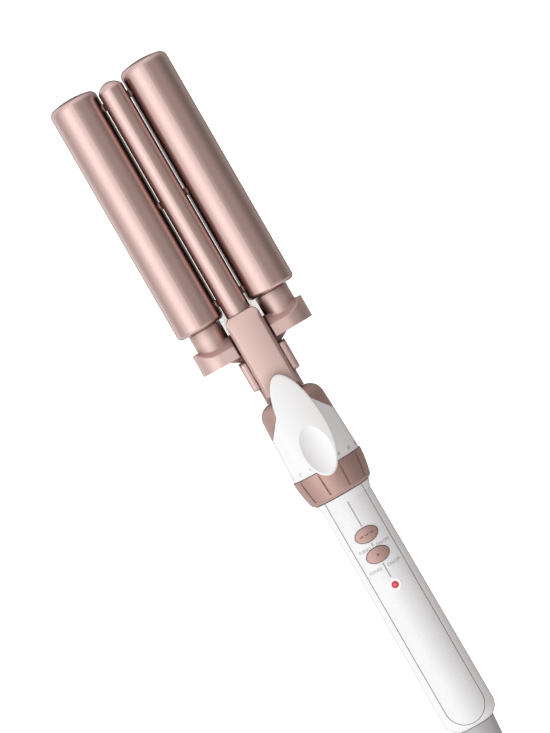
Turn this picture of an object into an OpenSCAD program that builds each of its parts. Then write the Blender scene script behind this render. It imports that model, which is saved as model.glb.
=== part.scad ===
// Three-barrel hair waver, lying on its back. Millimetres.
// +X points from the cord end to the barrel tips, +Z out of the front with the thumb lever, Y across.
// Stations run from the tips (0) towards the cord, heights from the handle's own axis.

/* [Barrels] */
// Diameter of each outer barrel
barrel_d = 26; // [24:0.5:28]
// Length of the outer barrels, tip to lower end
barrel_len = 132.5; // [120:0.5:150]
// Wall of the outer barrel tubes
barrel_wall = 1.6; // [1.2:0.1:2]
// Radius of the domed face at an outer tip
barrel_dome_r = 43; // [36:1:60]
// Corner radius between the domed tip and the side
barrel_corner = 4; // [3:0.5:5]
// Corner radius at the lower end of an outer barrel
barrel_heel = 2.5; // [1.5:0.5:3]
// Diameter of the slim centre barrel
center_d = 13.5; // [12:0.5:15]
// Radius of the domed tip of the centre barrel
center_dome_r = 7.6; // [7.6:0.2:9]
// Corner radius between the centre tip and the side
center_corner = 1.5; // [1:0.25:2]
// Wall of the centre barrel tube
center_wall = 1.2; // [0.8:0.1:1.5]
// How far the centre tip lies behind the outer tips
center_inset = 2; // [0:0.5:5]
// How far the centre barrel lies in front of the outer ones
center_lift = 5; // [4.5:0.5:7]
// Gap beside the centre barrel, seen from the front
side_gap = 0.4; // [0.3:0.1:1]
// Thickness of the metal at the rolled lower end of a barrel
heel_len = 3; // [3:0.5:5]

/* [Spacer studs] */
// Station of the first pair of spacer studs
stud_first = 12.5; // [10:0.5:20]
// Distance from the last pair of studs to the barrels' lower ends
stud_last = 7.5; // [6.5:0.5:12]
// Number of pairs of studs
stud_rows = 3; // [2:1:3]
// Diameter of a spacer stud
stud_d = 4; // [3:0.5:5]

/* [Heaters] */
// Thickness of an outer heater strip
strip_t = 3; // [2:0.5:4]
// Width of an outer heater strip
strip_w = 16; // [12:0.5:18]
// Thickness of the centre heater strip
center_strip_t = 1.6; // [1.2:0.2:2.4]
// Width of the centre heater strip
center_strip_w = 7; // [5:0.5:8]
// Free length between a barrel tip and its heat blocks
block_inset = 9; // [8:0.5:14]
// Free length between the heat blocks and the end bush
block_heel_gap = 0.5; // [0.4:0.1:2]

/* [Yoke] */
// How far each neck is narrower than its barrel, on the radius
neck_step = 4.25; // [3.5:0.25:4.5]
// How far each neck lies inwards of its barrel's axis
neck_inset = 1; // [0:0.25:1.25]
// Visible length of the necks
neck_len = 9.5; // [8:0.5:14]
// Wall of the neck sleeves
neck_wall = 1.65; // [1.4:0.05:2]
// Metal of the yoke round each neck
yoke_rim = 3.35; // [3:0.05:4.5]
// Length of the yoke along the object
yoke_len = 11.75; // [11:0.25:15]
// Length of the slanted front face of the yoke
yoke_bevel_len = 5.5; // [4:0.25:6]
// Drop of the slanted front face of the yoke
yoke_bevel_drop = 6.5; // [5:0.25:7]
// How deep the end bushes sit in the yoke
bush_seat = 6; // [5:0.5:6]
// Length of the flange of an end bush
bush_flange = 5; // [4:0.5:6]
// Bore of the end bushes for the leads
bush_bore_d = 6; // [5:0.5:7]
// Diameter of the yoke screws
yoke_screw_d = 2.6; // [2.2:0.2:3]
// Half the distance between the two screws of one yoke cap
yoke_screw_half = 5; // [4:0.25:5.5]
// Length of the yoke screws
yoke_screw_len = 17; // [14:0.5:17.5]
// Distance from the yoke screws to the rear face of the yoke
yoke_screw_back = 2.9; // [2.8:0.05:3]
// Thickness of a yoke screw's head
yoke_head_t = 1.6; // [1.2:0.1:1.8]
// How deep a yoke screw's head is sunk
yoke_head_sink = 0.3; // [0.1:0.1:0.6]

/* [Stem and hinge] */
// How far the half-round stem is wider than the arm, on each side
stem_margin = 1.5; // [1:0.25:2]
// Half width of the stem where it leaves the yoke
gusset_half = 17.25; // [15:0.25:18]
// Length of the slope from the yoke to the stem
gusset_len = 3.25; // [3:0.25:5]
// Depth of the gusset behind the axis
gusset_depth = 9; // [8:0.5:10]
// Length of the hinge ears along the object
ear_len = 15.75; // [14:0.25:17]
// Height of the ears in front of the hinge pin's middle
ear_rise = 4.6; // [4.2:0.2:5]
// Corner radius of the ears
ear_round = 2; // [1:0.25:3]
// Thickness of each hinge ear
ear_t = 3.75; // [3:0.25:4.5]
// Depth of the hinge ears behind the axis
ear_depth = 7; // [6.5:0.25:7.5]
// Height of the hinge pin in front of the axis
hinge_lift = 8; // [7.5:0.25:9]
// Diameter of the hinge pin
pin_d = 4; // [3.5:0.25:4.5]
// Visible length of the stem between the ears and the shoulder
stem_len = 9; // [8.5:0.25:14]
// Diameter of the round root of the stem inside the handle
root_d = 19; // [18:0.5:20]
// Length of the root of the stem
root_len = 33; // [31:0.5:36]
// Diameter of the lead bore in the stem
lead_bore_d = 5.6; // [5:0.2:6]
// Diameter of the cross bore from the lead bore to the necks
cross_bore_d = 4.5; // [4:0.25:5]
// Depth of the lead bore behind the axis
lead_bore_depth = 6.3; // [6:0.1:6.5]

/* [Clamp arm] */
// Wall of the arm beside the centre barrel
arm_wall = 2.5; // [2:0.25:3]
// Height of the arm over the centre barrel
arm_roof = 3.25; // [2.5:0.25:4]
// Thickness of the arm under the bush of the centre barrel
arm_floor = 2; // [1.5:0.25:2.5]
// Diameter of the bush of the centre barrel inside the arm
center_bush_d = 9; // [8:0.5:9.5]
// How deep that bush sits in the arm
center_bush_seat = 14; // [10:0.5:16]
// How far the arm reaches past the yoke towards the tips
arm_reach = 7.5; // [6:0.5:8.5]
// How far the top of the arm falls towards its end
arm_fall = 2.6; // [2:0.2:3]
// Corner radius of the end of the arm
arm_corner = 4; // [3:0.5:5]
// Width of the bevels along the arm
arm_bevel = 1.5; // [1:0.25:2]
// Length of the arm behind the hinge pin
arm_tail = 13.4; // [12:0.2:13.4]
// Width of the spring pocket inside the arm
pocket_w = 10; // [9:0.5:11]
// Radius of the spring pocket round the pin
pocket_r = 5; // [4.75:0.25:5.5]
// Wall behind the spring pocket
pocket_wall = 2.5; // [2:0.25:3]
// Wall of the hinge bushes
bush_wall = 1; // [0.8:0.1:1.2]
// How far the clamp opens, in degrees
clamp_open = 9; // [6:0.5:9]
// Wire of the clamp spring
spring_wire = 1; // [0.8:0.1:1.2]
// Turns of the clamp spring
spring_turns = 5.5; // [3.5:1:5.5]
// Gap between the turns of the clamp spring
spring_gap = 0.45; // [0.4:0.05:0.5]

/* [Thumb lever] */
// Largest width of the thumb lever
lever_w = 21.5; // [20:0.5:26]
// Length of the lever from its front point to its widest place
lever_front = 31; // [28:0.5:36]
// Length of the lever from its widest place to its tip
lever_back = 24.8; // [22:0.1:26.5]
// How far the front point lies behind the ear's front edge
lever_start = 13; // [12.4:0.2:14.4]
// Thickness of the lever plate
lever_t = 2.6; // [2.2:0.1:3]
// Radius of the lever's curve seen from the side
lever_curve_r = 270; // [230:10:400]
// Radius of the lever's crown seen from its tip
lever_crown_r = 40; // [36:2:80]
// Clearance of the lever tip over the dial with the clamp shut
lever_lift = 11.6; // [11.6:0.1:14]
// Height of the underside of the lever's front over the arm
lever_step = 2.2; // [2:0.1:4]
// Length of the thumb dimple
dimple_len = 25; // [22:0.5:26]
// Width of the thumb dimple
dimple_w = 14.5; // [12:0.5:16]
// Depth of the thumb dimple
dimple_depth = 1.3; // [1.1:0.1:1.5]
// Distance from the lever tip to the middle of the dimple
dimple_back = 14; // [13.5:0.25:16]
// Diameter of the lever's screws
lever_screw_d = 2.2; // [2:0.1:2.4]
// Distance from the lever's screws to the end of the arm
lever_screw_back = 4.6; // [4.4:0.1:5]
// How far the lever's screws stand into the spring pocket
lever_screw_low = 1; // [0.5:0.25:1.5]
// How far the lever's screws reach past the underside of its front
lever_screw_bite = 0.8; // [0.6:0.1:1]

/* [Shoulder and number collar] */
// Radius of the shoulder behind its rounded edge
shoulder_r = 17.3; // [16.5:0.1:18]
// Rounding of the front edge of the shoulder
shoulder_round = 7.5; // [6:0.25:8]
// Length of the shoulder at its sides
shoulder_len = 17.25; // [15:0.25:20]
// Angle of the shoulder's seam to the length of the object, seen from the front, in degrees
seam_angle = 36.5; // [32:0.5:42]
// Length of the shoulder where the nose of the seam ends
seam_nose = 5; // [4.5:0.25:6]
// Length of the number collar at its sides
collar_len = 23.25; // [22:0.25:28]
// Radius of the collar at the dial
collar_r = 18.75; // [18.25:0.05:19]
// Wall of the shoulder and the collar
head_wall = 2.2; // [1.8:0.1:2.4]
// Thickness of the front face of the shoulder
web_t = 2.5; // [2:0.25:3]

/* [Heat dial] */
// Length of the dial ring
dial_len = 15.5; // [13:0.5:18]
// Radius of the dial at the collar
dial_r = 19.25; // [19.1:0.05:19.5]
// Radius of the dial at the handle
dial_small_r = 16.6; // [16.2:0.05:17.2]
// Rounding of the dial at the handle
dial_round = 2.4; // [2:0.1:2.8]
// Radius of the dial's curved side
dial_curve_r = 60; // [45:1:90]
// Number of grooves round the dial
groove_count = 10; // [6:1:14]
// Width of a dial groove
groove_w = 0.9; // [0.6:0.1:1.4]
// Depth of a dial groove
groove_depth = 0.7; // [0.5:0.1:1]
// Length of plain dial behind the grooves
groove_stop = 2.25; // [2:0.25:5]
// Radius of the hub that the dial turns on
hub_r = 13.2; // [13:0.05:13.3]
// Length of the hub ahead of the dial
hub_reach = 12; // [11:0.5:13]
// Length of the ring at the hub's front
hub_ring = 3; // [2.5:0.25:4]
// Depth of the wiper pocket in the dial
wiper_pocket = 6; // [4:0.5:8]
// Angle of the dial to each side of its middle, in degrees
dial_turn = 72; // [60:1:80]
// How far the contact track reaches past the dial's turn, in degrees
track_end = 12; // [8:1:14]
// Gap between the hub and the contact track
track_gap = 0.8; // [0.6:0.1:1]
// Gap between the contact track and the collar's wall
track_rim = 0.2; // [0.15:0.05:0.4]
// Thickness of the contact track
track_t = 1; // [0.8:0.1:1.2]
// Depth of the contact track in the collar
track_sink = 3; // [2.5:0.25:3.5]
// Width of the dial's wiper
wiper_w = 2.8; // [2:0.2:3.2]
// Thickness of the dial's wiper
wiper_t = 0.8; // [0.6:0.1:1]

/* [Handle] */
// Length of the handle behind the dial
handle_len = 133.7; // [120:0.1:150]
// Radius of the handle at its front
grip_r = 13.75; // [13.6:0.05:14.25]
// Radius of the handle at its rear
grip_end_r = 14.5; // [14:0.05:15.25]
// Radius of the flare at the dial
flare_r = 15.25; // [15:0.05:15.5]
// Length of the flare
flare_len = 4; // [3:0.25:6]
// Wall of the handle
grip_wall = 2.2; // [1.8:0.1:2.3]
// Rounding of the rear end of the handle
end_round = 9; // [8.5:0.25:9.5]
// Thickness of the rear wall
end_wall = 4; // [3:0.25:5]

/* [Front panel] */
// Half width of the front panel
panel_half = 10.25; // [10:0.05:10.5]
// Distance from the rear face of the handle to the panel's end
panel_back = 2.2; // [2:0.1:5]
// Height of the ledge that carries the panel
panel_seat = 7; // [6.75:0.05:7.25]
// Width of the groove round the panel
panel_gap = 0.3; // [0.2:0.05:0.4]
// Height of the underside of the panel's middle
panel_roof = 10.8; // [10.6:0.05:11]
// Wall of the panel at its front
panel_wall = 2; // [1.5:0.25:2.5]
// Half width of the hollow under the panel
panel_hollow = 7.3; // [7.2:0.05:7.5]
// Distance from the handle's front to the turbo button
turbo_place = 23.25; // [20:0.25:26]
// Distance from the turbo button to the power button
button_pitch = 11.5; // [11:0.25:14]
// Distance from the power button to the lamp
lamp_pitch = 17.25; // [12:0.25:20]
// Width of a button across the handle
button_w = 12.25; // [11:0.25:12.5]
// Length of a button along the handle
button_l = 7.5; // [7:0.1:9]
// How far a button stands out of the panel
button_proud = 0.6; // [0.4:0.1:1.2]
// Width of the flange round a button
flange_w = 0.7; // [0.6:0.05:0.8]
// Thickness of a button's flange
flange_t = 1.2; // [1:0.1:1.4]
// Travel of a button
button_travel = 0.8; // [0.5:0.1:1]
// Radius of the lamp's lens
lens_r = 1.9; // [1.5:0.1:2.2]
// Radius of the crown of the lens
lens_crown_r = 3; // [2.5:0.25:4]
// How far the lens stands out of the panel
lens_proud = 0.5; // [0.3:0.1:0.8]
// How far the bezel stands out of the panel
bezel_proud = 0.2; // [0.1:0.05:0.3]
// Radius of the lamp's bezel
bezel_r = 3; // [2.6:0.1:3.5]
// Distance from the handle's front to the first panel post
front_post = 9; // [8:0.25:11]
// Distance from the handle's front to the rear panel post
rear_post = 88; // [84:0.5:92]
// Radius of a panel post
post_r = 2.6; // [2.4:0.1:3]
// Wall of the handle's posts outside the panel's
post_wall = 1; // [0.8:0.1:1.2]
// Radius of a panel screw
panel_screw_r = 1.25; // [1:0.05:1.3]
// Radius of a panel screw's head
panel_head_r = 2.6; // [2.2:0.1:2.8]
// Thickness of a panel screw's head
panel_head_t = 1.5; // [1.2:0.1:1.8]
// Depth of the seat of a panel screw's head
head_seat = 3.4; // [3:0.1:3.8]

/* [Circuit board] */
// Distance from the handle's front to the board
board_start = 14; // [13.75:0.25:15]
// Length of the board
board_len = 68; // [62:0.5:69]
// Width of the board
board_w = 18; // [16:0.5:18.5]
// Thickness of the board
board_t = 1.6; // [1:0.1:2]
// Height of the board's underside
board_lift = 3; // [2:0.25:3]
// Side of a push switch
switch_w = 6; // [5:0.25:6]
// Radius of a switch plunger
plunger_r = 1.4; // [1:0.1:1.8]
// Depth of a plunger in its switch
plunger_sink = 2; // [1.8:0.1:2.1]
// Distance from each end of the board to the rib that carries it
rest_inset = 7; // [6.5:0.25:8]
// Thickness of the ribs that carry the board
rest_t = 2; // [1.5:0.25:2.5]
// Radius of the opening in those ribs
rest_open_r = 6.5; // [6:0.25:6.75]
// Length, width and height of the power element
element = [10, 10, 4.4];
// Length, width and thickness of its cooling plate
plate = [26, 12, 2];
// Length, width and height of the coil
coil = [8, 10, 5];
// Diameter of the capacitor
capacitor_d = 7; // [6:0.5:8]
// Height of the capacitor
capacitor_h = 5; // [4:0.25:5]
// Distance from each end of the board to its first part
part_inset = 2; // [1.5:0.25:3]

/* [Cord swivel] */
// Visible length of the gland
gland_len = 15; // [12:0.5:25]
// Radius of the gland at the handle
gland_r = 10.4; // [10:0.1:10.75]
// Radius of the gland at its end
gland_end_r = 9.4; // [8.75:0.1:10]
// Rounding of the gland's end
gland_round = 1.5; // [1:0.25:2]
// Radius of the swivel journal in the handle
journal_r = 6.6; // [6.2:0.1:6.7]
// Radius of the swivel shaft inside the handle
shaft_r = 5; // [4.8:0.1:5.5]
// Length of the swivel shaft inside the handle
shaft_len = 20; // [19:0.5:26]
// Radius of the retaining ring
keeper_r = 9; // [8.5:0.1:9.5]
// Thickness of the retaining ring
keeper_t = 2.5; // [2:0.25:3]
// Radius of the cord inlet
inlet_r = 3.6; // [3:0.1:4]
// Radius of the slip rings
slip_r = 6.4; // [6:0.1:7]
// Width of a slip ring
slip_w = 3; // [2:0.25:4]
// Distance from the shaft's inner end to the first slip ring
slip_inset = 4; // [3:0.25:5]
// Width of the contact brushes
brush_w = 2; // [1.5:0.25:2.5]
// Thickness of the spring leaf behind a brush
leaf_t = 1.2; // [0.8:0.1:1.4]
// Length of that spring leaf
leaf_len = 8; // [7:0.5:9]
// Distance from one slip ring to the next
slip_pitch = 6; // [5:0.25:7]

/* [Safety stand] */
// Distance from the shoulder to the stand's pin
stand_back = 5.5; // [5:0.25:6]
// Depth of the stand's pin behind the axis
stand_depth = 13.6; // [13.3:0.1:14.5]
// Reach of the stand from its pin to its foot's far edge
stand_reach = 33; // [30:0.5:40]
// Width of the stand's foot
stand_foot_w = 44; // [36:1:56]
// Length of the foot along the stand
stand_foot_l = 6; // [5:0.5:8]
// Width of the stand's blade
stand_blade_w = 12; // [9:0.5:13]
// Thickness of the stand's plate
stand_t = 1.6; // [1.2:0.1:2]
// Radius of the stand's knuckle
knuckle_r = 2.2; // [2:0.1:2.4]
// Diameter of the stand's pin
stand_pin_d = 2.4; // [2:0.1:2.6]
// Gap between the stand's blade and a lug
lug_gap = 1; // [0.8:0.1:1.2]
// Thickness of a stand lug
lug_t = 2.5; // [2:0.25:3]

/* [Heater leads] */
// Radius of a lead
lead_r = 0.95; // [0.8:0.05:1]
// Distance of each lead from the middle of the stem's bore
lead_spread = 1.45; // [1.4:0.05:1.5]
// Distance from a panel post to the nearer lead
lead_lane = 1.7; // [1.6:0.05:1.8]
// Distance between the two leads of one side
lead_pitch = 2.2; // [2.1:0.05:2.3]
// Share of its way across that a lead has gone at its first bend
lead_share = 0.6; // [0.5:0.05:0.7]
// Length of a lead's straight ends and of a quarter of its bend
lead_start = 4; // [3.5:0.25:4]

/* [Clearances] */
// Clearance between pieces that move past each other
move_clear = 0.3; // [0.25:0.05:0.4]
// Clearance between an inner piece and what holds it
fit_clear = 0.12; // [0.1:0.01:0.2]
// Running clearance of pins and journals
run_clear = 0.06; // [0.04:0.01:0.1]
// Width of the seams between covers
seam_w = 0.3; // [0.2:0.05:0.4]

/* [Hidden] */
$fn = 96;
over = 1;
rose = [0.79, 0.66, 0.63];
rose_dark = [0.62, 0.49, 0.46];
shell_white = [0.95, 0.95, 0.95];
panel_white = [0.9, 0.9, 0.91];
gland_grey = [0.72, 0.71, 0.72];
steel = [0.75, 0.76, 0.78];
brass = [0.78, 0.66, 0.38];
dark = [0.16, 0.16, 0.17];
ceramic = [0.9, 0.88, 0.82];

// height of an arc over its chord, and the half width of the dish that meets a falling surface there
function sagitta(r, half) = r - sqrt(r * r - half * half);
function dish_half(half, drop) = half / sqrt(1 - pow(drop / dimple_depth, 2));

// stations along the object
neck_at = barrel_len + seam_w;
yoke_at = barrel_len + neck_len;
yoke_back = yoke_at + yoke_len;
ear_at = yoke_back + gusset_len;
ear_back = ear_at + ear_len;
hinge_at = ear_at + ear_len / 2;
shoulder_at = ear_back + stem_len;
seam_at = shoulder_at + shoulder_len;
head_len = shoulder_len + collar_len;
collar_back = shoulder_at + head_len;
dial_at = collar_back + seam_w;
dial_back = dial_at + dial_len;
handle_at = dial_back + seam_w;
handle_back = handle_at + handle_len;
gland_at = handle_back + seam_w;
gland_back = gland_at + gland_len;
tip_x = gland_back / 2;
axis_z = dial_r;

// across the object
barrel_r = barrel_d / 2;
center_r = center_d / 2;
barrel_y = barrel_r + center_r + side_gap;
neck_y = barrel_y - neck_inset;
neck_r = barrel_r - neck_step;
bush_r = neck_r - neck_wall;
bush_hole_r = bush_r + fit_clear;
yoke_r = neck_r + yoke_rim;
yoke_head_room = yoke_head_sink + yoke_head_t + fit_clear;
barrel_in_r = barrel_r - barrel_wall;
center_in_r = center_r - center_wall;
barrel_gap = norm([barrel_y, center_lift]) - barrel_r - center_r;
stud_proud = barrel_gap - move_clear;
stud_pitch = (barrel_len - stud_first - stud_last) / (stud_rows - 1);
stud_tilt = atan2(center_lift, barrel_y);

// the clamp
arm_w = center_d + 2 * arm_wall;
arm_top = center_lift + center_r + arm_roof;
arm_low = center_lift - center_bush_d / 2 - arm_floor;
arm_at = yoke_at - arm_reach;
arm_back = hinge_at + arm_tail;
arm_fall_r = (arm_reach * arm_reach + arm_fall * arm_fall) / (2 * arm_fall);
slot_half = neck_y - neck_r;
stem_top = arm_low - 2 * move_clear;
stem_r = arm_w / 2 + stem_margin;
ear_in = arm_w / 2 + move_clear;
ear_out = ear_in + ear_t;
ear_top = hinge_lift + ear_rise;
center_back = arm_at - move_clear / 2;
hinge_bush_len = (arm_w - pocket_w) / 2;
hinge_bush_r = pin_d / 2 + bush_wall;
pocket_end = arm_back - pocket_wall;
coil_r = pin_d / 2 + 3 * move_clear + spring_wire / 2;

// the thumb lever: an arc band in side view, from its front point to its tip over the dial
lever_at = ear_at + lever_start;
lever_mid = lever_at + lever_front;
lever_tip = lever_mid + lever_back;
lever_low_front = arm_top + lever_step;
lever_low_tip = dial_r + lever_lift;
lever_dx = lever_tip - lever_at;
lever_dz = lever_low_tip - lever_low_front;
lever_chord = norm([lever_dx, lever_dz]);
lever_sink = sqrt(pow(lever_curve_r, 2) - pow(lever_chord / 2, 2));
lever_cs = (lever_at + lever_tip) / 2 + lever_sink * lever_dz / lever_chord;
lever_cz = (lever_low_front + lever_low_tip) / 2 - lever_sink * lever_dx / lever_chord;
dimple_at = lever_tip - dimple_back;
lever_top_r = lever_curve_r + lever_t;
dimple_turn = asin((dimple_at - lever_cs) / lever_top_r);
dimple_half_len = dish_half(dimple_len / 2, sagitta(lever_top_r, dimple_len / 2));
dimple_half_w = dish_half(dimple_w / 2, sagitta(lever_crown_r, dimple_w / 2));
lever_screw_at = hinge_lift + pocket_r - over - lever_screw_low;
lever_screw_len = lever_low_front + lever_screw_bite - lever_screw_at;
lever_screw_y = pocket_w / 2 - spring_wire - lever_screw_d;

// the head, the dial and the handle
root_r = root_d / 2;
root_back = shoulder_at + root_len;
hub_at = dial_at - hub_reach;
hub_in_r = grip_r - grip_wall;
head_in_r = collar_r - head_wall;
track_in_r = hub_r + track_gap;
track_out_r = head_in_r - track_rim;
track_at = collar_back - track_sink + fit_clear / 2;
wiper_reach = dial_at + wiper_pocket - fit_clear - track_at - track_t - move_clear;
dial_pocket_in = track_in_r + fit_clear;
dial_pocket_out = track_out_r + move_clear;
groove_tilt = atan2(dial_r - dial_small_r, dial_len);
end_flat_r = gland_r;
end_straight = handle_len - sqrt(pow(end_round, 2) - pow(end_flat_r - grip_end_r + end_round, 2));
turbo_at = handle_at + turbo_place;
power_at = turbo_at + button_pitch;
lamp_at = power_at + lamp_pitch;
panel_end = handle_back - panel_back;
posts = [handle_at + front_post, handle_at + rear_post];
post_foot = 0;
screw_hole_end = panel_roof - grip_wall;
board_at = handle_at + board_start;
board_top = board_lift + board_t;
button_low = panel_roof - move_clear - flange_t;
switch_top = button_low - button_travel - move_clear;

// the swivel and the stand
keeper_at = handle_back - end_wall - move_clear;
shaft_at = keeper_at - keeper_t - shaft_len;
rear_in_r = grip_end_r - grip_wall;
stem_end = shoulder_at - fit_clear;
stand_at = shoulder_at - stand_back;
lug_in = stand_blade_w / 2 + lug_gap;
lug_out = lug_in + lug_t;

// places a piece at a station, a height and a distance across
module at(station, up = 0, across = 0) {
    translate([tip_x - station, across, axis_z + up]) children();
}

// carries an outline drawn as (height, across) along the object from a station
module along(station, len, up = 0, across = 0) {
    at(station, up, across) rotate([0, -90, 0]) linear_extrude(len) children();
}

// turns a profile drawn as (radius, distance from the station) about a lengthwise axis
module turned(station, up = 0, across = 0) {
    at(station, up, across) rotate([0, -90, 0]) rotate_extrude() children();
}

module rod(station, len, r, up = 0, across = 0) {
    at(station, up, across) rotate([0, -90, 0]) cylinder(h = len, r = r);
}

// carries a side view drawn as (station, height) across the object
module side_view(width) {
    at(0) mirror([1, 0, 0]) rotate([90, 0, 0]) linear_extrude(width, center = true) children();
}

// carries a front view drawn as (station, across) from one height to another
module front_view(low, high) {
    at(0, low) mirror([1, 0, 0]) linear_extrude(high - low) children();
}

// box between two stations, two heights and two distances across
module slab(from, to, low, high, right, left) {
    at(to, low, right) cube([to - from, left - right, high - low]);
}

module cross_rod(station, up, len, r) {
    at(station, up) rotate([90, 0, 0]) cylinder(h = len, r = r, center = true);
}

module ring_2d(outer, inner) {
    difference() {
        circle(outer);
        circle(inner);
    }
}

function oval(half_a, half_b, steps = 48) =
    [for (i = [0:steps - 1]) [half_a * cos(360 * i / steps), half_b * sin(360 * i / steps)]];

// half profile of a round bar with a domed tip that runs into a corner arc
module domed_bar(r, dome_r, corner, len) {
    inner = r - corner;
    corner_d = dome_r - sqrt(pow(dome_r - corner, 2) - inner * inner);
    touch = dome_r / (dome_r - corner);
    touch_r = inner * touch;
    touch_d = dome_r - (dome_r - corner_d) * touch;
    intersection() {
        translate([0, dome_r]) circle(dome_r);
        square([touch_r, touch_d]);
    }
    translate([inner, corner_d]) circle(corner);
    translate([0, touch_d]) square([touch_r, corner_d - touch_d + over]);
    translate([0, corner_d]) square([r, len - corner_d]);
}

// ---- barrels ----

module outer_barrel(side) {
    y = side * barrel_y;
    color(rose) difference() {
        turned(0, 0, y) difference() {
            intersection() {
                domed_bar(barrel_r, barrel_dome_r, barrel_corner, barrel_len);
                union() {
                    square([barrel_r, barrel_len - barrel_heel]);
                    square([barrel_r - barrel_heel, barrel_len]);
                    translate([barrel_r - barrel_heel, barrel_len - barrel_heel]) circle(barrel_heel);
                }
            }
            translate([0, barrel_wall])
                domed_bar(barrel_in_r, barrel_dome_r - barrel_wall, barrel_corner - barrel_wall,
                    barrel_len - heel_len - barrel_wall);
        }
        rod(barrel_len - heel_len - over, heel_len + 2 * over, bush_hole_r, 0, side * neck_y);
        studs(side, stud_d / 2 + fit_clear / 2, over);
    }
}

// studs that keep hair from jamming, pointing at the centre barrel
module studs(side, r, extra) {
    for (i = [0:stud_rows - 1])
        at(stud_first + i * stud_pitch, 0, side * barrel_y)
            rotate([-side * stud_tilt, 0, 0])
                rotate([side * 90, 0, 0])
                    translate([0, 0, barrel_in_r - extra])
                        cylinder(h = barrel_wall + stud_proud + extra * 2, r = r);
}

module spacer_studs() {
    color(rose_dark) for (side = [-1, 1])
        intersection() {
            studs(side, stud_d / 2, 0);
            rod(0, barrel_len, barrel_r + stud_proud, 0, side * barrel_y);
        }
}

module left_barrel() {
    outer_barrel(1);
}

module right_barrel() {
    outer_barrel(-1);
}

module center_barrel() {
    len = center_back - center_inset;
    color(rose) turned(center_inset, center_lift) difference() {
        domed_bar(center_r, center_dome_r, center_corner, len);
        translate([0, center_wall])
            domed_bar(center_in_r, center_dome_r - center_wall, center_corner / 3, len - 2 * center_wall);
        translate([0, len / 2]) square([center_bush_d / 2 + fit_clear, len]);
    }
}

// two half-round blocks that press a flat heater strip between them
module heat_blocks(from, to, r, strip, up, y) {
    color(steel) difference() {
        rod(from, to - from, r - fit_clear, up, y);
        at((from + to) / 2, up, y) cube([to - from + 2 * over, 2 * r, strip + 2 * fit_clear], center = true);
    }
}

module heater(from, to, w, t, up, y) {
    color(ceramic) at((from + to) / 2, up, y) cube([to - from, w, t], center = true);
}

block_end = barrel_len - heel_len - bush_flange - block_heel_gap;
center_block_end = center_back - center_wall - bush_flange - block_heel_gap;

module left_heat_blocks() {
    heat_blocks(block_inset, block_end, barrel_in_r, strip_t, 0, barrel_y);
}

module right_heat_blocks() {
    heat_blocks(block_inset, block_end, barrel_in_r, strip_t, 0, -barrel_y);
}

module center_heat_blocks() {
    heat_blocks(block_inset + center_inset, center_block_end, center_in_r, center_strip_t, center_lift, 0);
}

module left_heater() {
    heater(block_inset, block_end, strip_w, strip_t, 0, barrel_y);
}

module right_heater() {
    heater(block_inset, block_end, strip_w, strip_t, 0, -barrel_y);
}

module center_heater() {
    heater(block_inset + center_inset, center_block_end, center_strip_w, center_strip_t, center_lift, 0);
}

// flanged insulating bush: the flange fills the tube, the shank goes through the neck into the yoke
module outer_end_bush(side) {
    flange_at = barrel_len - heel_len - bush_flange;
    shank_len = yoke_at + bush_seat - flange_at;
    color(ceramic) difference() {
        union() {
            rod(flange_at, bush_flange, barrel_in_r - fit_clear, 0, side * barrel_y);
            rod(flange_at, shank_len, bush_r, 0, side * neck_y);
        }
        rod(flange_at - over, shank_len + 2 * over, bush_bore_d / 2, 0, side * neck_y);
    }
}

module left_end_bush() {
    outer_end_bush(1);
}

module right_end_bush() {
    outer_end_bush(-1);
}

module center_end_bush() {
    flange_at = center_back - center_wall - bush_flange;
    shank_len = arm_at + center_bush_seat - flange_at;
    color(ceramic) difference() {
        union() {
            rod(flange_at, bush_flange, center_in_r - fit_clear, center_lift);
            rod(flange_at, shank_len, center_bush_d / 2, center_lift);
        }
        rod(flange_at - over, shank_len + 2 * over, center_bush_d / 4, center_lift);
    }
}

// ---- yoke, stem and hinge ----

// stadium outline round both necks, with the slanted front face, and both neck sleeves
module yoke_form() {
    difference() {
        along(yoke_at, yoke_len) {
            translate([-yoke_r, -neck_y]) square([2 * yoke_r, 2 * neck_y]);
            for (side = [-1, 1]) translate([0, side * neck_y]) circle(yoke_r);
        }
        side_view(4 * barrel_d) polygon([
            [yoke_at - yoke_bevel_len, yoke_r - 2 * yoke_bevel_drop],
            [yoke_at + 2 * yoke_bevel_len, yoke_r + yoke_bevel_drop],
            [yoke_at - yoke_bevel_len, yoke_r + yoke_bevel_drop]]);
    }
    for (side = [-1, 1]) rod(neck_at, yoke_at + yoke_bevel_len - neck_at, neck_r, 0, side * neck_y);
}

module yoke_cuts() {
    for (side = [-1, 1]) {
        rod(neck_at - over, yoke_at + bush_seat + fit_clear - neck_at + over, bush_hole_r, 0, side * neck_y);
        yoke_screw_places(side) {
            cylinder(h = yoke_screw_len + fit_clear, r = (yoke_screw_d + fit_clear) / 2);
            translate([0, 0, -over]) cylinder(h = yoke_head_room + over, r = yoke_screw_d);
        }
    }
}

// origin at the outer end of each screw head, pointing from the back towards the front
module yoke_screw_places(side) {
    for (d = [-1, 1])
        at(yoke_back - yoke_screw_back, -yoke_r, side * (neck_y + d * yoke_screw_half)) children();
}

module yoke_screws() {
    color(steel) for (side = [-1, 1])
        yoke_screw_places(side) {
            translate([0, 0, yoke_head_sink]) cylinder(h = yoke_head_t, r = yoke_screw_d - fit_clear);
            translate([0, 0, yoke_head_sink])
                cylinder(h = yoke_screw_len - yoke_head_sink, r = yoke_screw_d / 2);
        }
}

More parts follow.
